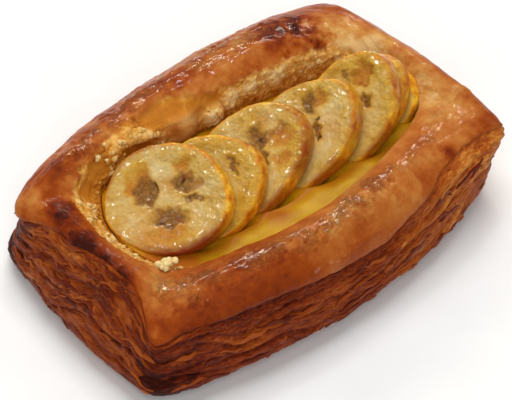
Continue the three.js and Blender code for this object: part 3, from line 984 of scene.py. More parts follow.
def flat_ring(ring, height, inward):
    """A ring drawn in towards the middle of the well and laid at one height."""
    ring = blend_between(ring[:, :2], WELL_CENTRE, inward)
    return np.concatenate([ring, np.full((len(u), 1), height)], axis=-1)


shares_in = np.linspace(*UNDERSIDE_SHARES, UNDERSIDE_RINGS)[::-1]
underside = [flat_ring(case_grid[0], 0.0, inward) for inward in shares_in]
well_rings = [flat_ring(case_grid[-1], height, inward) for height, inward in WELL_RINGS]
whole_grid = np.concatenate([underside, case_grid, well_rings])

grid_values = dict(  # value on the grid, on the underside and in the well
    bake_and_shading=(bake_and_shading, 0.62, 0.4), crumb=(crumb, 0, 1), light=(light, 0.5, 0.3), gloss=(gloss, 0.05, 0),
    crackle=(CRACKLE_HEIGHT * crackle, 0, 0), grain=(crumb * (1 - film), 0, 0),
    up=(streak_up, 0, 0), leaf=(1.0 * is_layer[:, None], 0, 0),
    ring_x=(well_rings[-1][:, 0], 0, 0), ring_y=(well_rings[-1][:, 1], 0, 0),
)  # the last two say where round the case a streak is, as a place on the lowest ring


def with_rings(value, under, well):
    """The values of the grid between those of the flat rings below it and in the well."""
    below = np.full((UNDERSIDE_RINGS, len(u)), under)
    inside = np.full((len(WELL_RINGS), len(u)), well)
    return np.vstack([below, np.broadcast_to(value, climb.shape), inside])


marks = {key: with_rings(*values) for key, values in grid_values.items()}
case_low, case_high = np.array([[-55.81, -37.68, 0], [57.18, 40.94, 25.99]])  # the solid's box
whole_grid = np.clip(whole_grid, case_low, case_high)
case_mesh = closed_mesh(
    "pastry_case_baked", whole_grid, [*WELL_CENTRE, 0], [*WELL_CENTRE, WELL_FLOOR], marks
)
add_piece(case_mesh, pastry_finish, ["pastry_case"])

# %% [markdown]
# ## Banana slices
# Seven slices lean on each other down the well. Each is a short slanted drum whose upper
# face sank a little in the oven. A ring grid follows its profile: the under face, the round
# side, the soft edge and the dished face. The places and tilts are those of the solids.

# %% Places of the slices
SLICES = [
    dict(at=(-21.9, 6.7, 21.5), tilt=27, turn=8, long=15.5, wide=13.4, spin=-69, thick=5.0),
    dict(at=(-13.1, 5.1, 18.8), tilt=27, turn=5, long=15.9, wide=13.2, spin=-15, thick=4.6),
    dict(at=(0.1, 5.0, 18.8), tilt=28, turn=-5, long=17.2, wide=13.3, spin=2, thick=5.0),
    dict(at=(14.6, 2.2, 20.0), tilt=30, turn=-5, long=16.7, wide=12.2, spin=6, thick=5.2),
    dict(at=(28.4, 0.3, 20.6), tilt=34, turn=2, long=15.6, wide=11.2, spin=10, thick=4.6),
    dict(at=(35.3, 2.4, 18.5), tilt=38, turn=0, long=11.6, wide=11.0, spin=-2, thick=3.4),
    dict(at=(40.1, 0.4, 16.9), tilt=40, turn=0, long=8.2, wide=9.0, spin=4, thick=3.2),
]
SLICE_SLANT = 1.2
SLICE_DISH = 0.9
SLICE_EDGE = 0.45
SLICE_POINTS = 150


def slice_turn(cut):
    """The turning of a slice: leaning back towards -X, then turned about +Z."""
    lean, turn = -math.radians(cut["tilt"]), math.radians(cut["turn"])
    about_y = np.array([
        [math.cos(lean), 0, math.sin(lean)], [0, 1, 0], [-math.sin(lean), 0, math.cos(lean)]
    ])
    about_z = np.array([
        [math.cos(turn), -math.sin(turn), 0], [math.sin(turn), math.cos(turn), 0], [0, 0, 1]
    ])
    return about_z @ about_y


def spun(points, degrees):
    """Plan points turned about the origin."""
    cos, sin = math.cos(math.radians(degrees)), math.sin(math.radians(degrees))
    return points[..., :2] @ np.array([[cos, sin], [-sin, cos]])


print(len(SLICES), "slices")

# %% [markdown]
# ## Marks on the slices
# A banana has three seed lobes round its middle. Baked, they turn grey brown, sink, and in
# places go amber or black. Each mark has a place and two radii on the face in millimetres,
# a turn, how far it sinks, and which tint it takes. The outer rim caramelises in places, and
# the lower rim of slices 2 to 5 also gets painted shadow in the same dark tint; each such
# place is given as a direction in degrees, a half width and a strength.

# %% Marks on the slices
FACE_MARKS = {  # tint, x, y, long radius, short radius, turn, sink
    1: [
        ("seed", -1.6, 5.2, 4.2, 2.9, 50, 0.7), ("amber", 1.2, 8.4, 2.8, 2.2, 50, 0.2),
        ("amber", -2.6, 8.4, 2.8, 1.4, 50, 0.1), ("char", 1.2, 4.7, 1.5, 0.45, 50, 0.3),
        ("seed", 5.2, -0.9, 3.0, 2.6, -50, 0.5), ("char", 5.9, -0.9, 1.0, 0.6, 0, 0.3),
        ("rust", 6.6, -4.3, 2.0, 1.5, 0, 0.3), ("rust", 6.9, -0.6, 1.8, 1.0, -40, 0.2),
        ("amber", 8.6, 1.6, 2.6, 1.8, 0, 0.2), ("seed", 3.6, -5.6, 2.8, 0.9, -50, 0.2),
        ("seed", -3.3, -3.5, 4.8, 2.5, -53, 0.6), ("char", -5.4, -2.5, 1.4, 0.4, -40, 0.5),
        ("rust", -2.4, -6.0, 1.4, 1.0, -40, 0.4), ("amber", -6.2, -6.1, 4.4, 2.0, -53, 0.2),
        ("char", 7.9, 5.5, 0.3, 0.3, 0, 0.1),
    ],
    2: [("seed", 9.5, -2.5, 3.0, 1.2, 60, 0.3)],
    3: [
        ("seed", 6.4, 2.4, 4.0, 2.6, 70, 0.4), ("char", 6.6, 1.6, 0.9, 0.7, 0, 0.6),
        ("rust", 11.0, 0.2, 4.0, 1.5, -12, 0.2), ("seed", 4.2, -3.0, 3.0, 1.4, 60, 0.2),
        ("amber", 11.0, -2.4, 3.6, 2.6, -30, 0.1), ("amber", 7.9, -6.4, 3.0, 2.0, -40, 0.1),
    ],
    4: [
        ("seed", 7.4, 4.0, 3.2, 2.0, 60, 0.3), ("char", 6.6, -0.5, 0.7, 0.6, 0, 0.7),
        ("amber", 10.4, 3.4, 2.6, 1.7, 40, 0.5), ("char", 3.5, -4.3, 1.3, 0.35, 60, 0.4),
        ("seed", 4.6, -2.4, 3.0, 1.2, 60, 0.2),
    ],
    5: [
        ("amber", 9.4, 2.7, 3.8, 2.6, 20, 1.1), ("rust", 7.4, 1.0, 1.2, 0.6, 60, 0.4),
        ("seed", 7.2, 6.2, 2.0, 1.2, 60, 0.2), ("seed", 5.0, -2.4, 2.2, 1.3, 60, 0.4),
    ],
}
# caramel, and painted shadow: the entries at -95 darken the lower rim of slices 2 to 5, partly
# caramel and partly the shadow under the slice
RIM_BURNS_AND_SHADE = {  # direction in the face, half width, strength
    1: [(-122, 44, 1.0), (78, 42, 0.65), (-10, 40, 0.2)],
    2: [(-30, 50, 0.3), (-95, 25, 0.2)],
    3: [(-38, 30, 0.75), (-5, 28, 0.6), (100, 20, 0.3), (-95, 25, 0.7)],
    4: [(-25, 40, 0.45), (60, 30, 0.35), (-95, 25, 0.7)],
    5: [(-15, 45, 0.4), (-95, 25, 0.7)],
    6: [(-30, 40, 0.4)],
    7: [(-30, 40, 0.1)],
}
FACE_SHADES = {  # soft brown places: x, y, radius, strength
    1: [(-9.0, -5.0, 7.0, 0.62), (-5.4, 0.6, 2.6, 0.35), (3.0, 2.0, 2.6, 0.35)],
    3: [(11.0, 4.4, 3.2, 0.35)],
    4: [(7.0, -4.6, 4.0, 0.4)],
}
MARK_WANDER = 1.2
MARK_FRAY = 0.35
FACE_YELLOW = [0, 0.45, 0.1, 0.1, 0.3, 0.2, 0.2]  # how yellow the middle of each slice is


def with_third(flat, third):
    """Plan points with one more number, so that they can ask for noise."""
    return np.concatenate([flat, np.full(flat.shape[:-1] + (1,), third)], axis=-1)


def noise_pair(points, seed):
    return np.stack([soft_noise(points, seed), soft_noise(points, seed + 1)], axis=-1)


def face_marks(number, flat):
    """How strongly each tint marks the face points, and how far the face sinks there."""
    wander = noise_pair(with_third(flat / 2.2, 5.0), 101)
    fray = noise_pair(with_third(flat / 0.8, 9.0), 103)
    moved = flat + MARK_WANDER * wander + MARK_FRAY * fray
    empty = np.zeros(flat.shape[:-1])
    tints, halos = (dict.fromkeys(("seed", "amber", "char", "rust"), empty) for _ in range(2))
    sink = empty
    for tint, x, y, long, short, turn, depth in FACE_MARKS.get(number, []):
        gap = np.linalg.norm(spun(moved - (x, y), -turn) / (long, short), axis=-1)
        strength = 1 - fade(0.55, 1.2, gap)
        tints[tint] = np.maximum(tints[tint], strength)
        halos[tint] = np.maximum(halos[tint], 1 - fade(0.8, 1.9, gap))
        sink = np.maximum(sink, depth * strength)
    return tints, sink, np.maximum(halos["seed"], halos["amber"])


def amber_places(number, flat, amber):
    """The amber marks, with the soft brown places of this slice added."""
    for x, y, radius, strength in FACE_SHADES.get(number, []):
        gap = np.linalg.norm(flat - (x, y), axis=-1) / radius
        amber = np.maximum(amber, strength * np.exp(-(gap**2)))
    return amber


def turn_between(facing, direction):
    """The angle from one direction to another, from 0 to 180 degrees."""
    return np.abs((facing - direction + 180) % 360 - 180)


def caramel_and_shade_rim(number, flat, share, facing):
    """How dark the rim is painted, from caramel and from painted shadow, given the share of the
    radius and the direction.
    """
    caramel_and_shade = np.zeros(facing.shape)
    ragged = share + 0.03 * soft_noise(with_third(flat / 1.5, 6.0), 114)
    for direction, width, strength in RIM_BURNS_AND_SHADE[number]:
        reach = fade(0.93 - 0.12 * strength, 1.0, ragged)  # a strong burn reaches further in
        beside = fade(0.4 * width, 1.3 * width, turn_between(facing, direction))
        caramel_and_shade = np.maximum(caramel_and_shade, strength * reach * (1 - beside))
    return caramel_and_shade


print(sum(len(places) for places in FACE_MARKS.values()), "marks on the faces")

# %% [markdown]
# ## The banana finish
# Baked banana is cream inside, golden at the rim and slightly see-through, so a little light
# is let under the surface. A sticky glaze covers it: a clear coat over a finely bumped
# surface breaks the light into small sparkles.

# %% Banana finish
BANANA_CREAM = [(0.3, (203, 168, 98)), (0.5, (210, 181, 116)), (0.7, (219, 198, 142))]
BANANA_YELLOW = [(0.3, (190, 142, 42)), (0.7, (210, 168, 68))]
BANANA_RIM = [(0.34, (196, 98, 0)), (0.48, (228, 150, 10)), (0.64, (242, 190, 44))]
SEED_BROWN = [(0.3, (78, 42, 10)), (0.5, (122, 72, 22)), (0.7, (158, 106, 46))]
AMBER, CARAMEL_AND_SHADE, CHAR = (184, 112, 30), (134, 48, 14), (52, 24, 12)


def baked_banana():
    material, tree, shader = new_finish("baked_banana")
    cloudy = speckle(tree, 230, 4, 0.52)
    fine = speckle(tree, 1500, 3)
    tints = [  # each one covers those before it
        ("yellow", colour_scale(tree, cloudy, BANANA_YELLOW)),
        ("rim", colour_scale(tree, speckle(tree, 330, 4), BANANA_RIM)),
        ("amber", linear(*AMBER)), ("seed", colour_scale(tree, fine, SEED_BROWN)),
        ("caramel_and_shade", linear(*CARAMEL_AND_SHADE)), ("char", linear(*CHAR)),
    ]
    colour = colour_scale(tree, cloudy, BANANA_CREAM)
    for key, tint in tints:
        colour = mixed(tree, painted(tree, key), colour, tint)
    tree.links.new(colour, shader.inputs["Base Color"])
    set_values(shader, {
        "Roughness": 0.45, "Specular IOR Level": 0.2, "Coat Weight": 0.8,
        "Coat Roughness": 0.07, "Subsurface Weight": 0.4,
        "Subsurface Radius": (1.0, 0.55, 0.2), "Subsurface Scale": 0.002,
    })
    wet = scaled(tree, cells(tree, 700), 0.7, scaled(tree, fine, 0.5))
    rippled = scaled(tree, painted(tree, "wet"), 3.0)
    wet = maths(tree, "ADD", wet, maths(tree, "MULTIPLY", speckle(tree, 560, 3), rippled))
    bumped(tree, shader, maths(tree, "ADD", scaled(tree, cloudy, 1.2), wet), 0.0003, 0.9)
    return material


banana_finish = baked_banana()
print("finish made:", banana_finish.name)

# %% [markdown]
# ## Shaping a slice
# A slice is drawn flat first: an uneven oval, wrinkled and sunk where its marks are. Then it
# is slanted, turned and put in its place. The same flat oval says which tint each point
# takes, so marks and dents always agree.

# %% Shape the slices
OVAL_UNEVEN = 0.03
FACE_LUMPS, FACE_PIMPLES, SIDE_LUMPS = 0.2, 0.08, 0.22
FIBRES_ROUND = 7
WET_SIDE = -10  # the direction in the face where most of the glaze lies, in degrees
DRY_SIDE_WET = 0.25  # how wet the rest of the face is
STRENGTHS = dict(rim=0.95, seed=0.86, amber=0.75, char=0.9, rust=0.5)
PROFILE_ROWS = [5, 5, 4, 8, 8, 5, 6, 26, 26]  # rows of the mesh between two profile corners


def slice_profile(thick):
    """Share of the radius and depth below the upper face, from the under face to the middle."""
    corners = [
        (0.04, thick), (0.6, thick), (0.9, thick - 0.05), (0.98, thick - 0.6 * SLICE_EDGE),
        (1.02, 0.55 * thick), (1.0, SLICE_EDGE), (0.965, 0.35 * SLICE_EDGE),
        (0.88, 0.15 * SLICE_EDGE), (0.5, 0.7 * SLICE_DISH), (0.02, SLICE_DISH),
    ]
    share, depth = np.array(corners).T
    place = [i + np.arange(n) / n for i, n in enumerate(PROFILE_ROWS)]
    place = np.concatenate(place + [[len(PROFILE_ROWS)]])
    numbers = np.arange(len(corners))
    rows = np.stack([np.interp(place, numbers, share), np.interp(place, numbers, depth)], axis=-1)
    return smoothed_up(rows, 3)


def slice_fibres(angle, share):
    """Fine noise that runs from the middle to the rim like the fibres of the fruit."""
    spokes = FIBRES_ROUND * np.stack([np.cos(angle), np.sin(angle)], axis=-1)
    spokes = np.broadcast_to(spokes, share.shape[:1] + spokes.shape)
    outward = np.broadcast_to(2 * share, spokes.shape[:2])[..., None]
    return soft_noise(np.concatenate([spokes, outward], axis=-1), 116)


def shape_slice(number, cut):
    """Adds one slice; gives back its points and the profile they follow."""
    profile = slice_profile(cut["thick"])
    share, depth = profile[:, :1], profile[:, 1:]
    depth_share = depth / cut["thick"]
    angle = TURN * np.arange(SLICE_POINTS) / SLICE_POINTS
    waves = unevenness(angle / TURN, cut["long"] + cut["wide"], (2, 3, 5))
    radius = share * (1 + OVAL_UNEVEN * waves)
    oval = [cut["long"] * radius * np.cos(angle), cut["wide"] * radius * np.sin(angle)]
    flat = spun(np.stack(oval, axis=-1), cut["spin"])
    is_face = fade(0.8, 0.2, depth_share)
    tints, sink, halo = face_marks(number, flat)
    lumpy = FACE_LUMPS * rough_noise(with_third(flat / 2.8, number * 1.0), 110)
    pimples = FACE_PIMPLES * soft_noise(with_third(flat / 0.8, number * 1.0), 111)
    level = -depth + (lumpy + pimples - sink) * is_face
    slide = SLICE_SLANT * depth_share
    body = np.stack([flat[..., 0] + slide, flat[..., 1], level], axis=-1)
    side = SIDE_LUMPS * rough_noise(body / 3.2, 112 + number) * fade(0.9, 1.0, share)
    body[..., :2] += side[..., None] * flat / np.linalg.norm(flat, axis=-1, keepdims=True)
    turn = slice_turn(cut)
    placed = body @ turn.T + cut["at"]
    placed[..., 2] = np.minimum(placed[..., 2], SOLID_TOP)

    facing = np.degrees(np.arctan2(flat[..., 1], flat[..., 0]))
    at_rim = fade(0.93, 1.0, share + 0.03 * soft_noise(with_third(flat / 2.0, 3.0), 113))
    caramel_and_shade = caramel_and_shade_rim(number, flat, share, facing)
    outer = fade(0.5, 0.9, share + 0.12 * soft_noise(with_third(flat / 4, 2.0), 115))
    towards_light = fade(95, 50, turn_between(facing, WET_SIDE))
    wet = DRY_SIDE_WET + (1 - DRY_SIDE_WET) * fade(0.66, 0.84, share) * towards_light
    yellow = FACE_YELLOW[number - 1] + sum_of([
        (0.6, outer), (0.75, halo), (0.4, slice_fibres(angle, share))])
    amber = amber_places(number, flat, STRENGTHS["amber"] * tints["amber"])
    marks = dict(
        rim=STRENGTHS["rim"] * np.maximum(at_rim, fade(0.5, 1.0, depth_share)), wet=wet,
        caramel_and_shade=np.maximum(caramel_and_shade, STRENGTHS["rust"] * tints["rust"] * is_face),
        yellow=np.clip(yellow, 0, 1) * is_face, amber=amber * is_face,
        seed=STRENGTHS["seed"] * tints["seed"] * is_face,
        char=STRENGTHS["char"] * tints["char"] * is_face,
    )
    under_middle = turn @ (SLICE_SLANT, 0, -cut["thick"]) + cut["at"]
    face_middle = placed[-1].mean(axis=0)
    mesh = closed_mesh(f"banana_slice_{number}_baked", placed, under_middle, face_middle, marks)
    add_piece(mesh, banana_finish, [f"banana_slice_{number}"])
    return placed, share[:, 0], depth[:, 0]


slice_surfaces = [shape_slice(number, cut) for number, cut in enumerate(SLICES, start=1)]

# %% [markdown]
# ## Custard
# The custard filled the well before the slices were laid on it, so it is pressed down under
# each slice and swells a little beside it. Its skin is smooth with a few shallow wrinkles,
# bright yellow in the open, with painted orange shade beside and under the fruit and along
# the dough wall.

# %% Custard finish
CUSTARD_OPEN = [(0.3, (188, 137, 4)), (0.7, (206, 162, 18))]
CUSTARD_SHADED = (176, 98, 12)


def set_custard():
    material, tree, shader = new_finish("set_custard")
    cloudy = speckle(tree, 220, 3)
    fine = speckle(tree, 1100, 3)
    open_colour = colour_scale(tree, cloudy, CUSTARD_OPEN)
    colour = mixed(tree, painted(tree, "shade"), open_colour, linear(*CUSTARD_SHADED))
    tree.links.new(colour, shader.inputs["Base Color"])
    set_values(shader, {
        "Roughness": 0.45, "Specular IOR Level": 0.15, "Coat Weight": 0.12,
        "Coat Roughness": 0.25, "Subsurface Weight": 0.25,
        "Subsurface Radius": (1.0, 0.6, 0.15), "Subsurface Scale": 0.002,
    })
    height = maths(tree, "ADD", cloudy, maths(tree, "MULTIPLY", fine, 0.3))
    bumped(tree, shader, height, 0.0003, 0.5)
    return material


custard_finish = set_custard()
print("finish made:", custard_finish.name)

# %% [markdown]
# ## Shaping the custard
# The top is a ring grid that shrinks from the wall towards the middle of the well. Wherever
# a slice lies above it, the custard is pressed below the under face of the slice, with a small
# gap, and just beside the slice it swells.

# %% Shape the custard
CUSTARD_DOME = 0.8
CUSTARD_WRINKLES = 0.07
GAP = 0.35  # between the custard and the case
PRESS_GAP = 0.2  # between the custard and a slice
SWELL_BESIDE = 0.25
SHADE_BESIDE, SHADE_AT_WALL, WALL_SHADE_WIDTH = 0.75, 0.55, 0.06
CUSTARD_ROWS = 64
WALL_RINGS = 6
# painted shadow under the first slice and between two slices
CUSTARD_PAINTED_SHADOWS = [  # brown places: path, radius and strength
    ([(-33.5, -1.0), (-30.5, -4.6), (-26.5, -7.0)], 3.2, 1.2),  # below the first slice
    ([(-4.6, -8.1), (-1.8, -10.6)], 3, 1.0),  # painted shadow between two slices
]
OPEN_STRIP = [(34.6, -9.1), (40.7, -7.8)]  # at the right end the custard stays yellow

wall_edge = case_form(np.full((1, len(u)), 3.0))[0, ::2, :2]
wall_edge = pushed_out(wall_edge, np.full(len(wall_edge), -GAP))
inward = np.linspace(0, 0.985, CUSTARD_ROWS)[:, None, None] ** 1.2
top_plan = blend_between(wall_edge, WELL_CENTRE, inward)
dome = CUSTARD_DOME * (0.6 * fade(0, 0.12, inward[..., 0]) + 0.4 * fade(0.12, 0.5, inward[..., 0]))
wrinkled = CUSTARD_WRINKLES * rough_noise(with_third(top_plan / 4, 2.0), 120)
custard_top = CUSTARD_LEVEL + dome + wrinkled
beside = np.zeros(custard_top.shape)
for cut in SLICES:
    turn = slice_turn(cut)
    middle = turn @ (SLICE_SLANT, 0, -cut["thick"]) + cut["at"]
    normal = turn[:, 2]
    offset = top_plan - middle[:2]
    plane = middle[2] - offset @ normal[:2] / normal[2]
    on_plane = np.concatenate([offset, (plane - middle[2])[..., None]], axis=-1) @ turn
    local = spun(on_plane[..., :2], -cut["spin"]) / (cut["long"], cut["wide"])
    reach = np.linalg.norm(local, axis=-1)
    pressed = np.minimum(custard_top, plane - PRESS_GAP)
    custard_top = blend_between(custard_top, pressed, 1 - fade(1.0, 1.08, reach))
    beside = np.maximum(beside, np.exp(-(((reach - 1.1) / 0.1) ** 2)))
custard_top = np.maximum(custard_top + SWELL_BESIDE * beside, WELL_FLOOR + 2 * GAP)
custard_grid = np.concatenate([top_plan, custard_top[..., None]], axis=-1)
walls = np.repeat(custard_grid[:1], WALL_RINGS, axis=0)
levels = np.linspace(WELL_FLOOR + GAP, CUSTARD_LEVEL, WALL_RINGS, endpoint=False)
walls[..., 2] = levels[:, None]
custard_grid = np.concatenate([walls, custard_grid])
at_wall = SHADE_AT_WALL * np.exp(-inward[..., 0] / WALL_SHADE_WIDTH)
shade = np.maximum(SHADE_BESIDE * beside, at_wall)
for path, radius, strength in CUSTARD_PAINTED_SHADOWS:
    shade = np.maximum(shade, strength * mark(top_plan, path, radius))
shade = np.clip(shade * (1 - 0.85 * mark(top_plan, OPEN_STRIP, 4)), 0, 1)
shade = np.vstack([np.ones((WALL_RINGS, shade.shape[1])), shade])
custard_floor, custard_middle = [*WELL_CENTRE, WELL_FLOOR + GAP], custard_grid[-1].mean(axis=0)
custard_mesh = closed_mesh(
    "custard_filling", custard_grid, custard_floor, custard_middle, dict(shade=shade)
)
add_piece(custard_mesh, custard_finish, ["custard"])

# %% [markdown]
# ## Crumbs, drops of glaze and loose flakes
# Small loose things break the clean surfaces. Each kind is one piece of real mesh, made of
# many small closed solids. Crumbs and drops start from the same lump: rings that widen and
# narrow again, with a seeded unevenness, stacked along the normal of the surface below.

# %% Lumps
LUMP_RINGS = np.array([0.25, 0.65, 0.92, 1.0, 0.9, 0.6, 0.22])  # share of the radius, upwards
LUMP_LEVELS = np.array([-0.97, -0.76, -0.4, 0.0, 0.42, 0.8, 0.98])
LUMP_POINTS = 9


def closed_solids(name, grids, marks):
    """One mesh of many closed solids, each a stack of rings with a middle point at each end."""
    points, faces, first = [], [], 0
    for grid in grids:
        rows, count = grid.shape[:2]
        points += [grid.reshape(-1, 3), [grid[0].mean(axis=0)], [grid[-1].mean(axis=0)]]
        for row, k in itertools.product(range(rows - 1), range(count)):
            a, b = first + row * count + k, first + row * count + (k + 1) % count
            faces.append((a, b, b + count, a + count))
        low, high = first + rows * count, first + rows * count + 1
        top = first + (rows - 1) * count
        for k in range(count):
            following = (k + 1) % count
            faces += [(low, first + following, first + k), (high, top + k, top + following)]
        first += rows * count + 2
    sizes = [grid.shape[0] * grid.shape[1] + 2 for grid in grids]
    repeated = {key: np.repeat(values, sizes) for key, values in marks.items()}
    return new_mesh(name, np.concatenate(points), faces, repeated)


def lump(centre, normal, radius, flatness, roughness, draw):
    """A small rounded solid that sits on a surface with this normal."""
    side = np.cross(normal, (0.3, 0.5, 0.8))
    side = side / np.linalg.norm(side)
    third = np.cross(normal, side)
    angle = TURN * np.arange(LUMP_POINTS) / LUMP_POINTS + draw.uniform(0, TURN)
    wider = 1 + roughness * draw.normal(size=(len(LUMP_RINGS), LUMP_POINTS))
    spread = radius * LUMP_RINGS[:, None] * wider
    higher = 1 + roughness * draw.normal(size=(len(LUMP_RINGS), 1))
    level = radius * flatness * LUMP_LEVELS[:, None] * higher
    across = spread[..., None] * (np.cos(angle)[:, None] * side + np.sin(angle)[:, None] * third)
    return centre + across + np.broadcast_to(level, spread.shape)[..., None] * normal


def mostly_small(draw, least, more):
    """A size in which small ones come up most often."""
    return least + more * draw.random() ** 2


# %% [markdown]
# ## Crumbs
# A crumb is one lump with a rough outline. Crumbs cling only where the wall is torn, between
# its mouth and the custard, and not on the smooth films. A tuft of larger ones sits at the
# near left of the well.

# %% Crumbs on the torn wall
CRUMB_COUNT = 170
CRUMB_SIZE = (0.35, 0.6)
CRUMB_FLATNESS, CRUMB_ROUGHNESS = 0.5, 0.24
CRUMB_LIGHTNESS = (0.55, 1.0)
TUFT_MIDDLE, TUFT_SPREAD = (-33.2, -7.2, 19.9), (1.2, 0.8, 0.35)
CRUMBS_IN_TUFT = 18
TUFT_SIZE = (0.5, 1.0)
TUFT_FLATNESS, TUFT_ROUGHNESS = 0.7, 0.2
UP = np.array([0, 0, 1.0])

crumb_draw = np.random.default_rng(31)
case_normals = grid_normals(case_grid)
can_cling = (crumb > 0.8) & (climb > 1.6) & (climb < 2.62) & (film < 0.3)
clinging = np.argwhere(can_cling)
chosen = crumb_draw.choice(len(clinging), CRUMB_COUNT, replace=False)
crumbs = []
for at in map(tuple, clinging[chosen]):
    size = mostly_small(crumb_draw, *CRUMB_SIZE)
    shape = (size, CRUMB_FLATNESS, CRUMB_ROUGHNESS, crumb_draw)
    crumbs.append(lump(case_grid[at], case_normals[at], *shape))
for _ in range(CRUMBS_IN_TUFT):
    place = TUFT_MIDDLE + crumb_draw.normal(size=3) * TUFT_SPREAD
    shape = (crumb_draw.uniform(*TUFT_SIZE), TUFT_FLATNESS, TUFT_ROUGHNESS, crumb_draw)
    crumbs.append(lump(place, UP, *shape))
crumb_light = crumb_draw.uniform(*CRUMB_LIGHTNESS, len(crumbs))
crumb_light[CRUMB_COUNT:] = 1.0
print(len(crumbs), "crumbs")


def dry_crumb():
    material, tree, shader = new_finish("dry_crumb")
    fine = speckle(tree, 1600, 3)
    light = maths(tree, "ADD", scaled(tree, fine, 0.4, -0.2), painted(tree, "light"), clamp=True)
    tree.links.new(colour_scale(tree, light, CRUMB_COLOURS), shader.inputs["Base Color"])
    set_values(shader, {
        "Roughness": 0.7, "Specular IOR Level": 0.15, "Subsurface Weight": 0.3,
        "Subsurface Scale": 0.001,
    })
    bumped(tree, shader, fine, 0.0003, 0.8)
    return material


crumb_mesh = closed_solids("torn_crumbs", crumbs, dict(light=crumb_light))
add_piece(crumb_mesh, dry_crumb())

# %% [markdown]
# ## Drops of glaze
# The glaze gathers in flat round beads on the rims of the slices, most on the side towards
# the strip of light, and in smaller beads where the crests are crackled.

# %% Drops of glaze
DROPS_ON_SLICE = [14, 8, 10, 8, 10, 4, 3]
DROPS_ON_CREST = 90
SLICE_DROP_SIZE, CREST_DROP_SIZE = (0.2, 0.32), (0.16, 0.26)
SLICE_DROP_FLATNESS, CREST_DROP_FLATNESS, DROP_ROUGHNESS = 0.32, 0.5, 0.05
DROP_SPREAD = 38  # degrees round the wet side
GLAZE_PALE = [(0.3, (206, 160, 76)), (0.7, (226, 186, 110))]
GLAZE_BROWN = [(0.3, (160, 76, 26)), (0.7, (190, 104, 50))]

drop_draw = np.random.default_rng(41)
drops = []
for (placed, share, depth), cut, count in zip(slice_surfaces, SLICES, DROPS_ON_SLICE):
    surface_normals = grid_normals(placed)
    rows = np.nonzero((share > 0.8) & (depth < 1.0))[0]
    for _ in range(count):
        towards = drop_draw.normal(WET_SIDE, DROP_SPREAD) - cut["spin"]
        column = int(round(towards / 360 * SLICE_POINTS)) % SLICE_POINTS
        at = drop_draw.choice(rows), column
        size = mostly_small(drop_draw, *SLICE_DROP_SIZE)
        shape = (size, SLICE_DROP_FLATNESS, DROP_ROUGHNESS, drop_draw)
        drops.append(lump(placed[at], surface_normals[at], *shape))
glazed = np.argwhere(crackle > 0.55)
chosen = drop_draw.choice(len(glazed), DROPS_ON_CREST, replace=False)
for at in map(tuple, glazed[chosen]):
    size = mostly_small(drop_draw, *CREST_DROP_SIZE)
    shape = (size, CREST_DROP_FLATNESS, DROP_ROUGHNESS, drop_draw)
    drops.append(lump(case_grid[at], case_normals[at], *shape))
for drop in drops:
    drop[..., 2] = np.minimum(drop[..., 2], SOLID_TOP)
print(len(drops), "drops of glaze")


def sticky_glaze():
    material, tree, shader = new_finish("sticky_glaze")
    cloudy = speckle(tree, 700, 2)
    pale, brown = (colour_scale(tree, cloudy, stops) for stops in (GLAZE_PALE, GLAZE_BROWN))
    colour = mixed(tree, painted(tree, "brown"), pale, brown)
    tree.links.new(colour, shader.inputs["Base Color"])
    set_values(shader, {
        "Roughness": 0.25, "Coat Weight": 1.0, "Coat Roughness": 0.04,
        "Subsurface Weight": 0.4, "Subsurface Scale": 0.001,
    })
    return material


drop_brown = np.arange(len(drops)) >= sum(DROPS_ON_SLICE)
drop_mesh = closed_solids("glaze_drops", drops, dict(brown=drop_brown.astype(float)))
add_piece(drop_mesh, sticky_glaze())

# %% [markdown]
# ## Loose flakes
# Each flake is a thin closed strip that follows the side for a few millimetres. Its upper
# edge is held and its lower edge stands off, as flakes do when the layers part in the oven.

# %% Loose flakes on the sides
FLAKE_GROUPS = [  # from and to round the case, from and to up the side, how many
    (3.05, 3.95, 0.1, 0.97, 110), (0.03, 0.95, 0.08, 0.85, 80), (1.05, 1.95, 0.08, 0.85, 36),
    (2.05, 2.95, 0.08, 0.85, 70),
]
SIDE_LENGTHS = [106.0, 57.0, 102.0, 51.0]  # near, right, far and left, in millimetres
FLAKE_LENGTH, FLAKE_HEIGHT, FLAKE_LIFT = (4, 12), (0.5, 1.4), (0.15, 0.6)
FLAKE_BAKE, FLAKE_GLOSS = (0.34, 0.86), (0.1, 0.5)
FLAKE_THICK = 0.12
KEPT_IN = 0.01  # no flake reaches past the case's box
FLAKE_STEPS = 16
FLAKE_RING = np.array([  # across the flake and through its thickness, once round
    (-1, 0), (-0.6, 0.7), (0, 1), (0.6, 0.8), (1, 0), (0.6, -0.8), (0, -1), (-0.6, -0.7),
])
flake_draw = np.random.default_rng(51)
smooth_side = smoothed_up(case_grid[is_layer], 4)
side_normals = grid_normals(smoothed_up(case_grid[is_layer], 12))


def side_point(place, up):
    """A point of the layered side at a place round the case and a share of the way up."""
    station = np.interp(place, np.append(u, SIDES), np.arange(len(u) + 1))
    column = np.round(station).astype(int) % len(u)
    rows = np.array([np.searchsorted(share_up[:, c], s) for c, s in zip(column, up)])
    rows = np.clip(rows, 1, len(share_up) - 2)
    return smooth_side[rows, column], side_normals[rows, column]


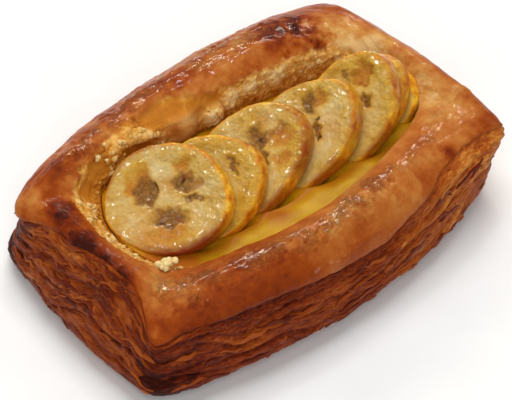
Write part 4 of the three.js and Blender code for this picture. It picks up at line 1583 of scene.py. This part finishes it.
def loose_flake(place, up, length, height, lift, draw):
    """A thin flake along the side. Its lower edge stands off and its upper edge is held."""
    along = np.linspace(-1, 1, FLAKE_STEPS)
    places = place + along * length / 2 / SIDE_LENGTHS[int(place) % SIDES]
    wave = 0.04 * draw.normal() * along + 0.02 * np.sin(TURN * (along + draw.random()))
    middle, normal = side_point(places, np.clip(up + wave, 0.03, 0.98))
    middle = smoothed_up(middle[:, None], 3)[:, 0]
    taper = np.clip(1 - np.abs(along) ** 3, 0.05, 1) * (1 + 0.06 * draw.normal(size=FLAKE_STEPS))
    upward = UP - normal * normal[:, 2:]
    upward /= np.linalg.norm(upward, axis=1, keepdims=True)
    across, through = FLAKE_RING.T
    reach = across[None, :, None] * (height / 2 * taper)[:, None, None] * upward[:, None]
    curl = 0.6 + 0.4 * np.sin(3 * along + draw.uniform(0, TURN))
    stand = lift * (1 - across) / 2 * curl[:, None]
    out = stand + FLAKE_THICK * through + 0.05
    return middle[:, None] + reach + out[..., None] * normal[:, None]


flake_grids = []
for low_u, high_u, low_up, high_up, count in FLAKE_GROUPS:
    for _ in range(count):
        ranges = (low_u, high_u), (low_up, high_up), FLAKE_LENGTH, FLAKE_HEIGHT, FLAKE_LIFT
        drawn = [flake_draw.uniform(*limits) for limits in ranges]
        flake_grids.append(loose_flake(*drawn, flake_draw))
flake_grids = [np.clip(grid, case_low + KEPT_IN, case_high - KEPT_IN) for grid in flake_grids]
flake_bake = flake_draw.uniform(*FLAKE_BAKE, len(flake_grids))
flake_gloss = flake_draw.uniform(*FLAKE_GLOSS, len(flake_grids))
flake_marks = dict(bake_and_shading=flake_bake, leaf=np.ones(len(flake_grids)), gloss=flake_gloss)
add_piece(closed_solids("loose_flakes", flake_grids, flake_marks), pastry_finish)

# %% [markdown]
# ## Camera
# The camera stands where the photograph's camera stood: 48 degrees above the table and 41.5
# degrees round from the near side, with a long lens. Its place follows from these angles.

# %% Camera
AZIMUTH = math.radians(41.5)
ELEVATION = math.radians(48)
DISTANCE = 565.5  # millimetres
LENS = 169.48  # the focal length for a picture 36 mm wide
TARGET = np.array([0, 0, 10.44])

level = math.cos(ELEVATION)
back = [-math.sin(AZIMUTH) * level, -math.cos(AZIMUTH) * level, math.sin(ELEVATION)]
back = np.array(back)
camera = bpy.data.objects.new("camera", bpy.data.cameras.new("camera"))
bpy.context.scene.collection.objects.link(camera)
camera.data.lens = LENS
camera.data.sensor_width = 36
camera.data.clip_start = 0.01
camera.location = to_frame(TARGET + DISTANCE * back)
camera.rotation_euler = Vector(-back).to_track_quat("-Z", "Y").to_euler()
bpy.context.scene.camera = camera
print("camera at", tuple(round(value, 3) for value in camera.location))

# %% [markdown]
# ## Floor and lights
# The floor is plain pale paper, so that the Danish stands alone. Three wide soft lights model
# the forms and are not mirrored in the glaze. A thin strip behind the Danish and small lamps
# round it are mirrored: they draw the fine bright lines and sparkles that make it look sticky.

# %% Floor and lights
FLOOR_HALF = 2.5
PAPER_WHITE = [(0.3, (240, 240, 240)), (0.7, (244, 244, 244))]
WHITE, WARM = (1, 1, 1), (1.0, 0.87, 0.7)
AIM = Vector((0, 0, 0.015))
LIGHTS = [  # name, place and sizes in metres, watts, mirrored in the glaze or not, tint
    ("soft_overhead", (0.2, 0.22, 0.9), (0.7, 0.7), 5.6, False, WHITE),
    ("soft_fill", (-0.35, -0.45, 0.8), (0.5, 0.5), 1.8, False, WHITE),
    ("soft_front", (-0.55, -0.6, 0.45), (0.7, 0.7), 2.2, False, WHITE),
    ("strip_behind", (0.4, 0.63, 0.5), (0.75, 0.022), 2.3, True, WARM),
    ("lamp_right", (0.3, -0.72, 0.26), (0.05, 0.05), 0.12, True, WARM),
    ("lamp_left_end", (-0.78, 0.46, 0.24), (0.05, 0.05), 0.12, True, WARM),
    ("lamp_above", (0.42, 0.34, 0.76), (0.07, 0.07), 0.6, True, WHITE),
    ("lamp_left", (-0.3, 0.45, 0.72), (0.05, 0.05), 0.25, True, WHITE),
]
STUDIO_COLOUR, STUDIO_STRENGTH = (250, 248, 244), 0.2


def add_floor():
    low, high = -FLOOR_HALF, FLOOR_HALF
    corners = [(low, low, 0), (high, low, 0), (high, high, 0), (low, high, 0)]
    mesh = bpy.data.meshes.new("floor")
    mesh.from_pydata(corners, [], [(0, 1, 2, 3)])
    floor = bpy.data.objects.new("floor", mesh)
    bpy.context.scene.collection.objects.link(floor)
    material, tree, shader = new_finish("pale_floor")
    paper = colour_scale(tree, speckle(tree, 40), PAPER_WHITE)
    tree.links.new(paper, shader.inputs["Base Color"])
    shader.inputs["Roughness"].default_value = 0.9
    mesh.materials.append(material)


def add_light(name, place, sizes, watts, in_glaze, tint):
    """A round or stretched soft light that points at the Danish."""
    lamp = bpy.data.lights.new(name, "AREA")
    lamp.shape = "ELLIPSE"
    lamp.size, lamp.size_y = sizes
    lamp.energy = watts
    lamp.color = tint
    light = bpy.data.objects.new(name, lamp)
    bpy.context.scene.collection.objects.link(light)
    light.location = place
    light.visible_glossy = in_glaze
    light.rotation_euler = (AIM - Vector(place)).to_track_quat("-Z", "Y").to_euler()


add_floor()
for settings in LIGHTS:
    add_light(*settings)
print(len(LIGHTS), "lights")
world = bpy.data.worlds.new("studio")
bpy.context.scene.world = world
world.use_nodes = True
background = world.node_tree.nodes["Background"]
background.inputs[0].default_value = linear(*STUDIO_COLOUR)
background.inputs[1].default_value = STUDIO_STRENGTH
bpy.context.scene.view_settings.view_transform = "Standard"
